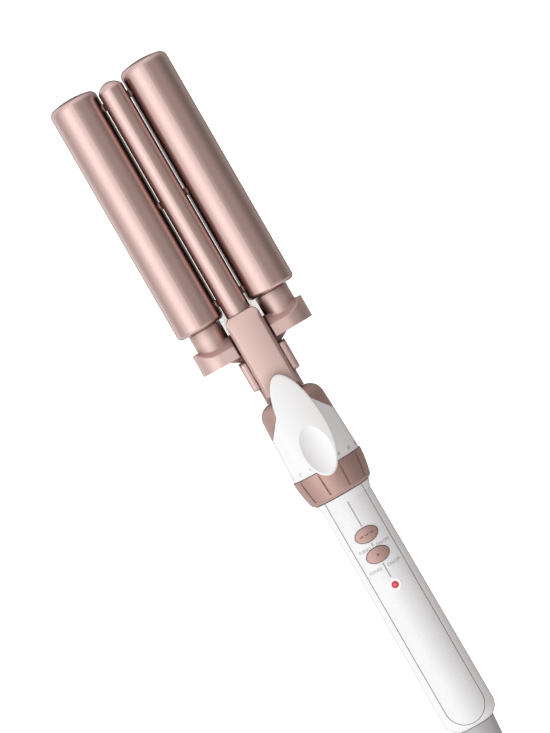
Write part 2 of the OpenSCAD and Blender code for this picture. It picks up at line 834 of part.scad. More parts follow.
module yoke_cap(side) {
    far = 2 * barrel_d;
    right = side > 0 ? slot_half : -far;
    left = side > 0 ? far : -slot_half;
    color(rose) difference() {
        intersection() {
            yoke_form();
            slab(neck_at - over, yoke_back + over, 0, far, right, left);
        }
        yoke_cuts();
    }
}

module left_yoke_cap() {
    yoke_cap(1);
}

module right_yoke_cap() {
    yoke_cap(-1);
}

module ear_pair() {
    difference() {
        side_view(2 * ear_out) {
            translate([ear_at, -ear_depth]) square([ear_len, ear_top - ear_round + ear_depth]);
            translate([ear_at + ear_round, 0]) square([ear_len - 2 * ear_round, ear_top]);
            for (s = [ear_at + ear_round, ear_back - ear_round])
                translate([s, ear_top - ear_round]) circle(ear_round);
        }
        side_view(2 * ear_in)
            translate([ear_at - over, stem_top]) square([ear_len + 2 * over, 4 * hinge_lift]);
        cross_rod(hinge_at, hinge_lift, 3 * ear_out, pin_d / 2 + run_clear);
    }
}

module stand_lugs() {
    difference() {
        side_view(2 * lug_out) {
            translate([stand_at, -stand_depth]) circle(knuckle_r);
            translate([stand_at - knuckle_r, -stand_depth]) square([2 * knuckle_r, stand_depth - stem_r / 2]);
        }
        side_view(2 * lug_in) translate([stand_at - 2 * knuckle_r, -stand_depth - 2 * knuckle_r])
            square([4 * knuckle_r, 2 * knuckle_r + stand_depth - stem_r - move_clear]);
    }
}

// cast frame: back half of the yoke, gusset, half-round stem, hinge ears, stand lugs and round root
module back_frame() {
    far = 2 * barrel_d;
    cross_at = yoke_back - yoke_len / 4;
    gusset_at = yoke_at + over;
    gusset_end = ear_out - ear_t / 2;
    color(rose) difference() {
        union() {
            intersection() {
                yoke_form();
                slab(neck_at - over, yoke_back + over, -far, 0, -far, far);
            }
            front_view(-gusset_depth, stem_top) for (side = [-1, 1]) polygon([
                [gusset_at, 0], [gusset_at, side * gusset_half], [yoke_back, side * gusset_half],
                [ear_at, side * gusset_end], [ear_back, side * (stem_r - over)], [ear_back, 0]]);
            intersection() {
                rod(gusset_at, stem_end - gusset_at, stem_r);
                slab(yoke_at, stem_end + over, -far, stem_top, -far, far);
            }
            ear_pair();
            stand_lugs();
            rod(stem_end, root_back - stem_end, root_r);
        }
        // slot for the arm through the yoke
        slab(neck_at - over, yoke_back + over, stem_top, far, -slot_half, slot_half);
        // room for the leads: along the stem and across the yoke to both necks
        rod(cross_at, root_back - cross_at + over, lead_bore_d / 2, -lead_bore_depth);
        cross_rod(cross_at, -lead_bore_depth, 2 * neck_y, cross_bore_d / 2);
        yoke_cuts();
        cross_rod(stand_at, -stand_depth, 3 * lug_out, stand_pin_d / 2 + run_clear);
    }
}

// four leads that fill the stem's bore, spread behind it and end under the front of the board
module heater_leads() {
    under = board_lift - lead_r - fit_clear;
    color(dark) for (i = [0:3]) {
        turn = 45 + 90 * i;
        side = sin(turn) > 0 ? 1 : -1;
        y = side * (post_r + post_wall + (cos(turn) > 0 ? lead_lane : lead_lane + lead_pitch));
        start_z = lead_spread * cos(turn) - lead_bore_depth;
        start_y = lead_spread * sin(turn);
        at(0) mirror([1, 0, 0]) tube_along([
            [yoke_back - lead_start, start_y, start_z], [handle_at - lead_start, start_y, start_z],
            [handle_at + lead_start / 2, lead_share * y, start_z + lead_r],
            [handle_at + 2 * lead_start, y, -lead_r / 2], [board_at, y, under],
            [board_at + lead_start, y, under]], lead_r, 8);
    }
}

// arm: bevelled section carried along, cut by its side view and its rounded end
module clamp_arm() {
    half = arm_w / 2;
    color(rose) difference() {
        intersection() {
            along(arm_at, arm_back - arm_at) polygon([
                [arm_low, -half], [arm_top - arm_bevel, -half], [arm_top, arm_bevel - half],
                [arm_top, half - arm_bevel], [arm_top - arm_bevel, half], [arm_low, half]]);
            side_view(2 * arm_w) {
                translate([yoke_at, arm_low]) square([arm_back - yoke_at, arm_top - arm_low]);
                intersection() {
                    translate([yoke_at, arm_top - arm_fall_r]) circle(arm_fall_r);
                    translate([arm_at - over, arm_low]) square([arm_reach + 2 * over, arm_top - arm_low]);
                }
            }
            front_view(arm_low - over, arm_top + over) {
                translate([arm_at + arm_corner, -half]) square([arm_back - arm_at, arm_w]);
                translate([arm_at, arm_corner - half]) square([arm_corner + over, arm_w - 2 * arm_corner]);
                for (side = [-1, 1])
                    translate([arm_at + arm_corner, side * (half - arm_corner)]) circle(arm_corner);
            }
        }
        // tail relief under the lever
        side_view(2 * arm_w) polygon([
            [hinge_at + over, arm_low - over], [hinge_at + over, arm_low],
            [arm_back + over, arm_low + arm_tail * tan(clamp_open + 3)], [arm_back + over, arm_low - over]]);
        rod(arm_at - over, center_bush_seat + fit_clear + over, center_bush_d / 2 + fit_clear, center_lift);
        // spring pocket
        cross_rod(hinge_at, hinge_lift, pocket_w, pocket_r);
        side_view(pocket_w) polygon([
            [hinge_at - pocket_r, arm_low - over], [pocket_end, arm_low - over],
            [pocket_end, hinge_lift + pocket_r - over],
            [hinge_at, hinge_lift + pocket_r], [hinge_at - pocket_r, hinge_lift]]);
        cross_rod(hinge_at, hinge_lift, 2 * arm_w, hinge_bush_r + fit_clear / 2);
        lever_screw_places() cylinder(h = arm_top, r = lever_screw_d / 2 + fit_clear / 2);
    }
}

// screws from the pocket up through its roof into the lever's foot
module lever_screw_places() {
    for (side = [-1, 1])
        at(arm_back - lever_screw_back, lever_screw_at, side * lever_screw_y) children();
}

module lever_screws() {
    color(steel) lever_screw_places() cylinder(h = lever_screw_len, r = lever_screw_d / 2);
}

module hinge_pin() {
    color(steel) cross_rod(hinge_at, hinge_lift, 2 * ear_out - 2 * move_clear, pin_d / 2);
}

module hinge_bushes() {
    color(brass) difference() {
        for (side = [-1, 1])
            at(hinge_at, hinge_lift, side * (arm_w - hinge_bush_len) / 2) rotate([90, 0, 0])
                cylinder(h = hinge_bush_len - 2 * fit_clear, r = hinge_bush_r, center = true);
        cross_rod(hinge_at, hinge_lift, 2 * arm_w, pin_d / 2 + run_clear);
    }
}

// torsion spring: one leg on the stem, turns round the pin, the other leg up in the tail of the arm
spring_pitch = spring_wire + spring_gap;
spring_steps = 16;
leg_reach = arm_tail - lever_screw_back;
leg_low = stem_top - hinge_lift + spring_wire / 2 + fit_clear;
leg_high = pocket_r - over * leg_reach / (arm_tail - pocket_wall) - spring_wire / 2 - fit_clear;
leg_y = spring_pitch * spring_turns / 2;
function coil_point(i) =
    let (a = 360 * i / spring_steps)
    [-coil_r * sin(a), spring_pitch * i / spring_steps - leg_y, -coil_r * cos(a)];
spring_path = concat(
    [[leg_reach, -leg_y, leg_low]],
    [for (i = [0:spring_turns * spring_steps]) coil_point(i)],
    [[leg_reach, leg_y, leg_high]]);

module clamp_spring() {
    color(steel) at(hinge_at, hinge_lift) mirror([1, 0, 0]) tube_along(spring_path, spring_wire / 2, 6);
}

// tube swept along points: one polyhedron with a ring of corners square to the path at each point
function direction(p, i) =
    let (a = p[max(i - 1, 0)], b = p[min(i + 1, len(p) - 1)]) (b - a) / norm(b - a);
module tube_along(path, r, sides) {
    n = len(path);
    across = [0, 1, 0];
    points = [for (i = [0:n - 1])
        let (t = direction(path, i), u = cross(t, across) / norm(cross(t, across)), v = cross(t, u))
        for (j = [0:sides - 1]) path[i] + r * (u * cos(360 * j / sides) + v * sin(360 * j / sides))];
    wall = [for (i = [0:n - 2], j = [0:sides - 1])
        let (a = i * sides + j, b = i * sides + (j + 1) % sides)
        each [[a, b, b + sides], [a, b + sides, a + sides]]];
    ends = [[for (j = [sides - 1:-1:0]) j], [for (j = [0:sides - 1]) (n - 1) * sides + j]];
    polyhedron(points, concat(wall, ends));
}

// ---- thumb lever ----

// white pointed plate on a foot, curved along its length and crowned across, with a thumb dimple
module thumb_lever() {
    color(shell_white) difference() {
        union() {
            intersection() {
                front_view(0, 3 * dial_r) lever_outline();
                lever_band();
            }
            intersection() {
                front_view(arm_top, 3 * dial_r) lever_outline();
                side_view(arm_w - 2 * arm_bevel) polygon([
                    [lever_at, arm_top], [arm_back, arm_top], [arm_back, band_middle(arm_back)],
                    [lever_at, lever_low_front + lever_t / 3]]);
            }
        }
        at(lever_cs, lever_cz) rotate([0, -dimple_turn, 0]) translate([0, 0, lever_top_r])
            scale([dimple_half_len, dimple_half_w, dimple_depth]) sphere(1);
        lever_screw_places() cylinder(h = lever_screw_len + fit_clear, r = lever_screw_d / 2 + fit_clear / 2);
    }
}

// ring about a cross axis under the lever: round inside, crowned across outside
module lever_band() {
    at(lever_cs, lever_cz) rotate([90, 0, 0]) rotate_extrude($fn = 360) intersection() {
        translate([lever_curve_r, -lever_w]) square([lever_t, 2 * lever_w]);
        translate([lever_top_r - lever_crown_r, 0]) rotate(180) circle(lever_crown_r);
    }
}

// height of the middle of the lever's plate at a station
function band_middle(station) =
    lever_cz + sqrt(pow(lever_curve_r + lever_t / 2, 2) - pow(station - lever_cs, 2));

module lever_outline() {
    points = 36;
    polygon([for (i = [0:points - 1])
        let (a = 360 * i / points)
        [lever_mid + (cos(a) < 0 ? lever_front : lever_back) * cos(a), lever_w / 2 * sin(a)]]);
}

// ---- shoulder and number collar ----

module head_shell() {
    corner_r = shoulder_r - shoulder_round;
    turned(shoulder_at) difference() {
        union() {
            translate([corner_r, shoulder_round]) circle(shoulder_round);
            square([corner_r, shoulder_round]);
            polygon([[0, shoulder_round], [shoulder_r, shoulder_round], [collar_r, head_len], [0, head_len]]);
        }
        intersection() {
            union() {
                translate([corner_r, shoulder_round]) circle(shoulder_round - head_wall);
                square([corner_r, shoulder_round]);
                polygon([
                    [0, shoulder_round], [shoulder_r - head_wall, shoulder_round], [head_in_r, head_len],
                    [head_in_r, head_len + over], [0, head_len + over]]);
            }
            translate([0, web_t]) square([collar_r, head_len]);
        }
        translate([0, -over]) square([root_r + fit_clear, 2 * web_t + over]);
    }
}

// all that lies on the tip side of the seam, which points at the tips seen from the front
module before_seam(shift) {
    taper = (collar_r - shoulder_r) / (head_len - shoulder_round);
    side_half = shoulder_r + taper * (shoulder_len - shoulder_round);
    nose_half = side_half - (shoulder_len - seam_nose) * tan(seam_angle);
    nose_at = shoulder_at + seam_nose + shift;
    reach = 2 * dial_r;
    far_at = seam_at + shift + (reach - side_half) / tan(seam_angle);
    front_view(-reach, reach) polygon([
        [shoulder_at - over, -reach], [far_at, -reach], [nose_at, -nose_half],
        [nose_at, nose_half], [far_at, reach], [shoulder_at - over, reach]]);
}

module shoulder_cover() {
    color(rose) intersection() {
        head_shell();
        before_seam(-seam_w / 2);
    }
}

module number_collar() {
    color(shell_white) {
        difference() {
            head_shell();
            before_seam(seam_w / 2);
        }
        turned(collar_back) translate([hub_r + fit_clear, -web_t - track_sink])
            square([head_in_r - hub_r, web_t]);
    }
}

// contact arc on the collar's ring, as long as the dial's turn and its ends
module dial_track() {
    half_turn = dial_turn + track_end;
    far = 2 * dial_r;
    color(brass) along(track_at, track_t) difference() {
        ring_2d(track_out_r, track_in_r);
        polygon([
            [0, 0], [far * cos(half_turn), far * sin(half_turn)], [-far, far],
            [-far, -far], [far * cos(half_turn), -far * sin(half_turn)]]);
    }
}

// ---- heat dial ----

module heat_dial() {
    half = norm([dial_r - dial_small_r, dial_len]) / 2;
    sink = sqrt(pow(dial_curve_r, 2) - half * half);
    slant = groove_tilt;
    curve_center = [(dial_r + dial_small_r) / 2 - sink * cos(slant), dial_len / 2 - sink * sin(slant)];
    corner_at = dial_len - dial_round;
    corner_reach = dial_curve_r - dial_round;
    corner_out = curve_center[0] + sqrt(pow(corner_reach, 2) - pow(corner_at - curve_center[1], 2));
    touch_at = corner_at + dial_round * (corner_at - curve_center[1]) / corner_reach;
    color(rose_dark) difference() {
        turned(dial_at) difference() {
            intersection() {
                translate(curve_center) circle(dial_curve_r, $fn = 360);
                union() {
                    square([dial_r + over, touch_at]);
                    square([corner_out, dial_len]);
                    translate([corner_out, corner_at]) circle(dial_round);
                }
            }
            translate([0, -over]) square([hub_r + run_clear, dial_len + 2 * over]);
            translate([dial_pocket_in, -over])
                square([dial_pocket_out - dial_pocket_in, wiper_pocket + over]);
        }
        for (i = [0:groove_count - 1])
            at(dial_at) rotate([180 / groove_count + 360 * i / groove_count, 0, 0])
                translate([0, 0, dial_r]) rotate([0, -slant, 0])
                    translate([-dial_len + groove_stop, -groove_w / 2, -groove_depth + groove_bulge])
                        cube([dial_len, groove_w, dial_r]);
    }
}

// how far the curved side of the dial stands out of its straight chord
groove_bulge = dial_curve_r - sqrt(pow(dial_curve_r, 2) - pow(dial_len / 2, 2));

module dial_wiper() {
    mid = (track_in_r + track_out_r) / 2;
    color(brass) at(dial_at + wiper_pocket - fit_clear, mid) {
        translate([0, -wiper_w / 2, -wiper_t / 2]) cube([wiper_reach, wiper_w, wiper_t]);
        translate([0, -wiper_w, -wiper_t]) cube([2 * wiper_t, 2 * wiper_w, 2 * wiper_t]);
    }
}

// ---- handle ----

module handle_outline() {
    corner = grip_end_r - end_round;
    intersection() {
        union() {
            polygon([
                [0, 0], [flare_r, 0], [grip_r, flare_len], [grip_end_r, end_straight], [0, end_straight]]);
            translate([corner, end_straight]) circle(end_round);
            square([corner, handle_len]);
        }
        square([2 * grip_end_r, handle_len]);
    }
}

module handle_hollow() {
    polygon([
        [0, -hub_reach - seam_w * 2 - dial_len - over], [hub_in_r, -hub_reach - seam_w * 2 - dial_len - over],
        [hub_in_r, 0], [grip_r - grip_wall, flare_len], [rear_in_r, end_straight - flare_len / 2],
        [rear_in_r - grip_wall / 2, handle_len - end_wall], [0, handle_len - end_wall]]);
}

// front outline of the panel from the seam at the dial: straight sides and a round end
module panel_outline(grow) {
    half = panel_half + grow;
    start = handle_at - seam_w / 2;
    translate([start, -half]) square([panel_end - panel_half - start, 2 * half]);
    translate([panel_end - panel_half, 0]) circle(half);
}

module post_holes(r, low, high) {
    for (s = posts) at(s, low) cylinder(h = high - low, r = r);
}

// tube with the hub for the dial, the window for the panel, screw posts and board rests
module handle_shell() {
    color(shell_white) difference() {
        union() {
            turned(handle_at) difference() {
                union() {
                    handle_outline();
                    translate([0, hub_at - handle_at]) square([hub_r, handle_at - hub_at + over]);
                }
                handle_hollow();
            }
            // ring at the front of the hub that centres the stem's root
            turned(hub_at) translate([root_r + fit_clear, 0]) square([hub_in_r - root_r, hub_ring]);
            intersection() {
                post_holes(post_r + post_wall, -grip_r, post_foot);
                turned(handle_at) handle_outline();
            }
            board_rests();
        }
        front_view(panel_seat, 2 * grip_r) panel_outline(panel_gap);
        rod(handle_back - end_wall - over, end_wall + 2 * over, journal_r + run_clear);
        post_holes(panel_screw_r + move_clear, -2 * grip_r, post_foot + over);
        post_holes(panel_head_r + fit_clear, -2 * grip_r, head_seat - grip_r);
    }
}

// ribs across the inside that carry the edges of the board
module board_rests() {
    for (s = [board_at + rest_inset, board_at + board_len - rest_inset])
        intersection() {
            slab(s - rest_t / 2, s + rest_t / 2, -grip_r, board_lift - fit_clear / 2, -grip_r, grip_r);
            turned(handle_at) difference() {
                handle_outline();
                square([rest_open_r, handle_len]);
            }
        }
}

module button_hole(station, grow) {
    at(station, panel_seat - over) linear_extrude(2 * grip_r)
        polygon(oval(button_l / 2 + grow, button_w / 2 + grow));
}

module front_panel() {
    color(panel_white) {
        difference() {
            intersection() {
                turned(handle_at) handle_outline();
                front_view(panel_seat, 2 * grip_r) panel_outline(0);
            }
            front_view(panel_seat - over, panel_roof) {
                translate([handle_at + panel_wall, -panel_hollow])
                    square([panel_end - panel_half - handle_at - panel_wall, 2 * panel_hollow]);
                translate([panel_end - panel_half, 0]) circle(panel_hollow);
            }
            button_hole(turbo_at, move_clear);
            button_hole(power_at, move_clear);
            at(lamp_at, panel_seat) cylinder(h = grip_r, r = bezel_r + fit_clear / 2);
            rod(keeper_at - 2 * keeper_t, 3 * keeper_t, keeper_r + move_clear);
        }
        difference() {
            post_holes(post_r, post_foot + fit_clear / 2, panel_roof + over / 2);
            post_holes(panel_screw_r, post_foot, screw_hole_end);
        }
    }
}

module panel_screws() {
    head_low = head_seat - panel_head_t - grip_r;
    color(steel) {
        post_holes(panel_screw_r - fit_clear / 4, head_low, screw_hole_end - move_clear);
        post_holes(panel_head_r, head_low, head_seat - fit_clear / 2 - grip_r);
    }
}

// oval button with a flange under the panel; its crown follows the handle
module button(station) {
    color(rose) intersection() {
        union() {
            at(station, button_low) linear_extrude(2 * grip_r) polygon(oval(button_l / 2, button_w / 2));
            at(station, button_low) linear_extrude(flange_t)
                polygon(oval(button_l / 2 + flange_w, button_w / 2 + flange_w));
        }
        rod(station - button_l, 2 * button_l, button_crown(station) + button_proud);
    }
}

function button_crown(station) =
    grip_r + (grip_end_r - grip_r) * (station - handle_at - flare_len) / (end_straight - flare_len);

module turbo_button() {
    button(turbo_at);
}

module power_button() {
    button(power_at);
}

module plunger(station) {
    color(dark) at(station, switch_top - plunger_sink)
        cylinder(h = button_low - switch_top + plunger_sink, r = plunger_r);
}

module turbo_plunger() {
    plunger(turbo_at);
}

module power_plunger() {
    plunger(power_at);
}

module push_switch(station) {
    height = switch_top - board_top;
    color(dark) difference() {
        at(station, board_top + height / 2) cube([switch_w, switch_w, height], center = true);
        at(station, switch_top - plunger_sink - button_travel - move_clear)
            cylinder(h = grip_r, r = plunger_r + move_clear);
    }
}

module turbo_switch() {
    push_switch(turbo_at);
}

module power_switch() {
    push_switch(power_at);
}

module lamp_lens() {
    top = button_crown(lamp_at) + lens_proud;
    color([0.8, 0.1, 0.15]) at(lamp_at, board_top + fit_clear / 2) {
        cylinder(h = top - lens_crown_r / 3 - board_top, r = lens_r - fit_clear);
        intersection() {
            cylinder(h = grip_r, r = lens_r - fit_clear);
            translate([0, 0, top - board_top - lens_crown_r]) sphere(lens_crown_r);
        }
    }
}

module lamp_bezel() {
    color(panel_white) difference() {
        at(lamp_at, panel_roof) cylinder(h = button_crown(lamp_at) - panel_roof + bezel_proud, r = bezel_r);
        at(lamp_at, panel_roof - over) cylinder(h = grip_r, r = lens_r);
    }
}

// ---- electronics ----

module circuit_board() {
    color([0.2, 0.4, 0.25]) at(board_at + board_len / 2, board_lift + board_t / 2)
        cube([board_len, board_w, board_t], center = true);
}

// power switch element on its cooling plate, capacitor and coil, under and over the board
module board_parts() {
    element_at = board_at + board_len - part_inset - element.x;
    coil_at = board_at + rest_inset + 2 * part_inset;
    color(dark) block(element_at, board_top, element);
    color(steel) at(element_at - part_inset - capacitor_d / 2, board_top)
        cylinder(h = capacitor_h, r = capacitor_d / 2);
    color(steel) block(element_at - plate.x, board_lift - plate.z, plate);
    color(dark) block(coil_at, board_lift - coil.z, coil);
}

// block of a length, width and height that starts at a station
module block(from, low, size) {
    slab(from, from + size.x, low, low + size.z, -size.y / 2, size.y / 2);
}

// ---- cord swivel ----

module cord_swivel() {
    color(gland_grey) difference() {
        union() {
            turned(gland_at) {
                polygon([
                    [0, 0], [gland_r, 0], [gland_end_r, gland_len - gland_round],
                    [gland_end_r - gland_round, gland_len], [0, gland_len]]);
                translate([gland_end_r - gland_round, gland_len - gland_round]) circle(gland_round);
            }
            rod(keeper_at, gland_at - keeper_at + over, journal_r);
            rod(shaft_at, keeper_at - shaft_at + over, shaft_r);
        }
        rod(gland_back - inlet_len, inlet_len + over, inlet_r);
    }
}

inlet_len = gland_len + end_wall + keeper_t + shaft_len / 2;

module swivel_keeper() {
    color(dark) along(keeper_at - keeper_t, keeper_t - fit_clear / 2)
        ring_2d(keeper_r, shaft_r + fit_clear / 2);
}

function slip_at(i) = shaft_at + slip_inset + i * slip_pitch;

module slip_rings() {
    color(brass) for (i = [0, 1]) along(slip_at(i), slip_w) ring_2d(slip_r, shaft_r + fit_clear / 2);
}

// spring fingers that reach from the handle's wall to the slip rings
module contact_brushes() {
    color(brass) for (i = [0, 1]) {
        side = 2 * i - 1;
        inner = slip_r + fit_clear;
        outer = rear_in_r - move_clear;
        middle = slip_at(i) + slip_w / 2;
        at(middle, 0, side * (inner + outer) / 2) cube([brush_w, outer - inner, 2 * leaf_t], center = true);
        at(middle + brush_w / 2 - leaf_len / 2, 0, side * (outer - leaf_t / 2))
            cube([leaf_len, leaf_t, 2 * leaf_t], center = true);
    }
}

// ---- safety stand ----

module safety_stand() {
    foot_at = stand_at - stand_reach;
    half = stand_t / 2;
    color(steel) difference() {
        union() {
            cross_rod(stand_at, -stand_depth, 2 * lug_in - 2 * move_clear, knuckle_r);
            front_view(-stand_depth - half, -stand_depth + half) {
                translate([foot_at, -stand_blade_w / 2]) square([stand_reach, stand_blade_w]);
                translate([foot_at, -stand_foot_w / 2 + stand_foot_l / 2])
                    square([stand_foot_l, stand_foot_w - stand_foot_l]);
                for (side = [-1, 1])
                    translate([foot_at + stand_foot_l / 2, side * (stand_foot_w - stand_foot_l) / 2])
                        circle(stand_foot_l / 2);
            }
        }
        cross_rod(stand_at, -stand_depth, 3 * lug_out, stand_pin_d / 2 + run_clear);
    }
}

module stand_pin() {
    color(steel) cross_rod(stand_at, -stand_depth, 2 * lug_out - fit_clear, stand_pin_d / 2);
}

left_barrel();
right_barrel();
center_barrel();
spacer_studs();
left_heat_blocks();
right_heat_blocks();
center_heat_blocks();
left_heater();
right_heater();
center_heater();
left_end_bush();
right_end_bush();
center_end_bush();
back_frame();
left_yoke_cap();
right_yoke_cap();
yoke_screws();
heater_leads();
clamp_arm();
thumb_lever();
lever_screws();
hinge_pin();
hinge_bushes();
clamp_spring();
shoulder_cover();
number_collar();
heat_dial();
dial_wiper();
dial_track();
handle_shell();
front_panel();
panel_screws();
turbo_button();
power_button();
turbo_plunger();
power_plunger();
turbo_switch();
power_switch();
lamp_lens();
lamp_bezel();
circuit_board();
board_parts();
cord_swivel();
swivel_keeper();
slip_rings();
contact_brushes();
safety_stand();
stand_pin();
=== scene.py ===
import math

import bmesh
import bpy
import numpy as np
from mathutils import Matrix, Vector


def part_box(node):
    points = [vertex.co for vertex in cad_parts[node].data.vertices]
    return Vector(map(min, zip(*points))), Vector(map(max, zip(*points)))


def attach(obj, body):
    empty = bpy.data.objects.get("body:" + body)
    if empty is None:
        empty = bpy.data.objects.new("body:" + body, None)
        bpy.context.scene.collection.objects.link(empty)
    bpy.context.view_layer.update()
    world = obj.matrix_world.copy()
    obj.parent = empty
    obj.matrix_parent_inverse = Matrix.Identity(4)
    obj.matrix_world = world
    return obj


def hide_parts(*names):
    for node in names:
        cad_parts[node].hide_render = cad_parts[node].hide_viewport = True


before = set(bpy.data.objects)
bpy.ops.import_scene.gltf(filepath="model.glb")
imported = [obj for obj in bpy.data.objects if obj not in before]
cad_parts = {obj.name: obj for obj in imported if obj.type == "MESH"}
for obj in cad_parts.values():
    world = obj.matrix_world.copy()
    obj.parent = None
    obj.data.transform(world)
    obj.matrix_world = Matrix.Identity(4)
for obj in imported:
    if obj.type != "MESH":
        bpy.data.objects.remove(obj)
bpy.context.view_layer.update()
mm = 0.001
scene = bpy.context.scene
print("frame loaded:", len(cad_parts), "nodes")

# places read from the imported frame; the handle's axis lies at the dial's middle height
dialLow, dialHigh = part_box("heat_dial")
leverLow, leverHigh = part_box("thumb_lever")
armLow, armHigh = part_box("clamp_arm")
turboLow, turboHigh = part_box("turbo_button")
powerLow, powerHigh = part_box("power_button")
lensLow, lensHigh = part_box("lamp_lens")
axisHeight = (dialLow.z + dialHigh.z) / 2
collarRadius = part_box("number_collar")[1].z - axisHeight
buttonRadius = turboHigh.z - axisHeight


# an sRGB hex colour turned linear: a straight foot up to 0.04045 and a power of 2.4 above it
def toLinear(hexColour):
    channels = [int(hexColour[i:i + 2], 16) / 255 for i in (1, 3, 5)]
    return tuple(c / 12.92 if c <= 0.04045 else ((c + 0.055) / 1.055) ** 2.4 for c in channels) + (1.0,)


# Adds one node. Each value goes to the property or to the input of its name or place, and a value
# that is another node's output is linked to it.
def addNode(tree, kind, values=None):
    node = tree.nodes.new("ShaderNode" + kind)
    for name, value in (values or {}).items():
        if isinstance(value, bpy.types.NodeSocket):
            tree.links.new(value, node.inputs[name])
        elif isinstance(name, str) and hasattr(node, name):
            setattr(node, name, value)
        else:
            node.inputs[name].default_value = value
    return node


# an empty material with the object's own coordinates and its output node
def newMaterial(name):
    mat = bpy.data.materials.new(name)
    mat.use_nodes = True
    tree = mat.node_tree
    tree.nodes.clear()
    place = addNode(tree, "TexCoord").outputs["Object"]
    return mat, tree, place, addNode(tree, "OutputMaterial")


# noise whose lumps are about one size long, in metres
def lumps(tree, place, size, detail=2.0):
    noise = addNode(tree, "TexNoise", {"Scale": 1 / size, "Detail": detail, "Vector": place})
    return noise.outputs["Fac"]


# the places of a Mix node's colour sockets, whose names repeat
mixPlaces = {"factor": 0, "first": 6, "second": 7, "result": 2}


# two colours mixed by a value from 0 to 1
def mixTones(tree, fac, first, second):
    node = addNode(tree, "Mix", {"data_type": "RGBA", mixPlaces["factor"]: fac,
                                 mixPlaces["first"]: first, mixPlaces["second"]: second})
    return node.outputs[mixPlaces["result"]]


# the same with two hex colours
def twoTones(tree, fac, deep, pale):
    return mixTones(tree, fac, toLinear(deep), toLinear(pale))


# a value from 0 to 1 spread between two limits
def spread(tree, value, low, high):
    return addNode(tree, "MapRange", {"Value": value, "To Min": low, "To Max": high}).outputs["Result"]


# roughness that a noise moves a little to both sides of the look's own
def roughAround(tree, noise, look):
    return spread(tree, noise, look["rough"] - look["smoother"], look["rough"] + look["rougher"])


# rays that feel for edges, for the gaps where shade is painted and for the floor's painted shadow, and
# the strength of every grain
shading = {"edgeSamples": 6, "paintedShadeSamples": 6, "floorSamples": 8, "grainStrength": 0.4}


# edges rounded in shading, then grain as height
def grainNormal(tree, grain, depth, edge):
    rounded = addNode(tree, "Bevel", {"samples": shading["edgeSamples"], "Radius": edge})
    bumped = addNode(tree, "Bump", {"Strength": shading["grainStrength"], "Distance": depth,
                                    "Height": grain, "Normal": rounded.outputs["Normal"]})
    return bumped.outputs["Normal"]


# how open a place is, from 0 in a closed gap to 1 in the open
def openness(tree, samples, reach):
    return addNode(tree, "AmbientOcclusion", {"samples": samples, "Distance": reach}).outputs["AO"]


# the result of one operation on one or two terms
def calculate(tree, operation, *terms):
    return addNode(tree, "Math", {"operation": operation, **dict(enumerate(terms))}).outputs["Value"]


# one shader as the surface of a material
def surface(tree, output, values):
    shader = addNode(tree, "BsdfPrincipled", values)
    tree.links.new(shader.outputs["BSDF"], output.inputs["Surface"])


# Rose lacquer over metal, sprayed and baked. The metal under it takes wide soft highlights, the
# clear coat adds a paler one on top, and the flakes break both into a fine grain. Real flakes are
# some hundredths of a millimetre, so the grain is drawn coarser to show at all. In narrow gaps,
# where little light gets in, shade is painted: the colour turns to the dark brown gap tone.
barrelLook = {"pale": "#DABDB8", "deep": "#CFB0AA", "gap": "#6E4A42", "paintedShadeReach": 6 * mm,
              "rough": 0.27, "coat": 0.5, "coatRough": 0.12, "flake": 0.8 * mm, "cloud": 14 * mm,
              "cloudDetail": 3.0, "grainDepth": 0.02 * mm, "edge": 0.3 * mm,
              "smoother": 0.05, "rougher": 0.06}
castingLook = dict(barrelLook, pale="#E2C6C0", deep="#D8BAB4", rough=0.46, coat=0.35, coatRough=0.3,
                   flake=0.7 * mm, cloud=9 * mm, grainDepth=0.03 * mm, edge=1.0 * mm)
# the moulding's painted shade in gaps, its gap tone, is lighter than the lacquer's
metallisedLook = dict(barrelLook, pale="#CAAAA2", deep="#BE9C94", gap="#94726A", rough=0.55,
                      coat=0.4, coatRough=0.3, flake=0.6 * mm, cloud=12 * mm,
                      grainDepth=0.01 * mm, edge=0.35 * mm)
# The arm's copy of the casting finish is painted paler: painted light for the brighter light on its
# broad flat top. It is also crowned across in shading.
armLook = dict(castingLook, pale="#E6CAC3", deep="#DCBEB7", curve=7.0)


# Height for a face crowned across: it falls with the square of the distance from the middle.
def crownedNormal(tree, place, look, normal):
    across = addNode(tree, "SeparateXYZ", {"Vector": place}).outputs["Y"]
    fall = calculate(tree, "MULTIPLY", calculate(tree, "MULTIPLY", across, across), -look["curve"])
    crowned = addNode(tree, "Bump", {"Distance": 1.0, "Height": fall, "Normal": normal})
    return crowned.outputs["Normal"]


def roseLacquer(look, name):
    mat, tree, place, output = newMaterial(name)
    flake = lumps(tree, place, look["flake"])
    cloud = lumps(tree, place, look["cloud"], look["cloudDetail"])
    # painted shade: how open each place is, which turns the colour to the dark gap tone in narrow gaps
    unshadedShare = openness(tree, shading["paintedShadeSamples"], look["paintedShadeReach"])
    bare = twoTones(tree, flake, look["deep"], look["pale"])
    normal = grainNormal(tree, flake, look["grainDepth"], look["edge"])
    if "curve" in look:
        normal = crownedNormal(tree, place, look, normal)
    surface(tree, output, {
        "Metallic": 1.0,
        "Coat Weight": look["coat"],
        "Coat Roughness": look["coatRough"],
        "Base Color": mixTones(tree, unshadedShare, toLinear(look["gap"]), bare),
        "Normal": normal,
        "Roughness": roughAround(tree, cloud, look)})
    return mat


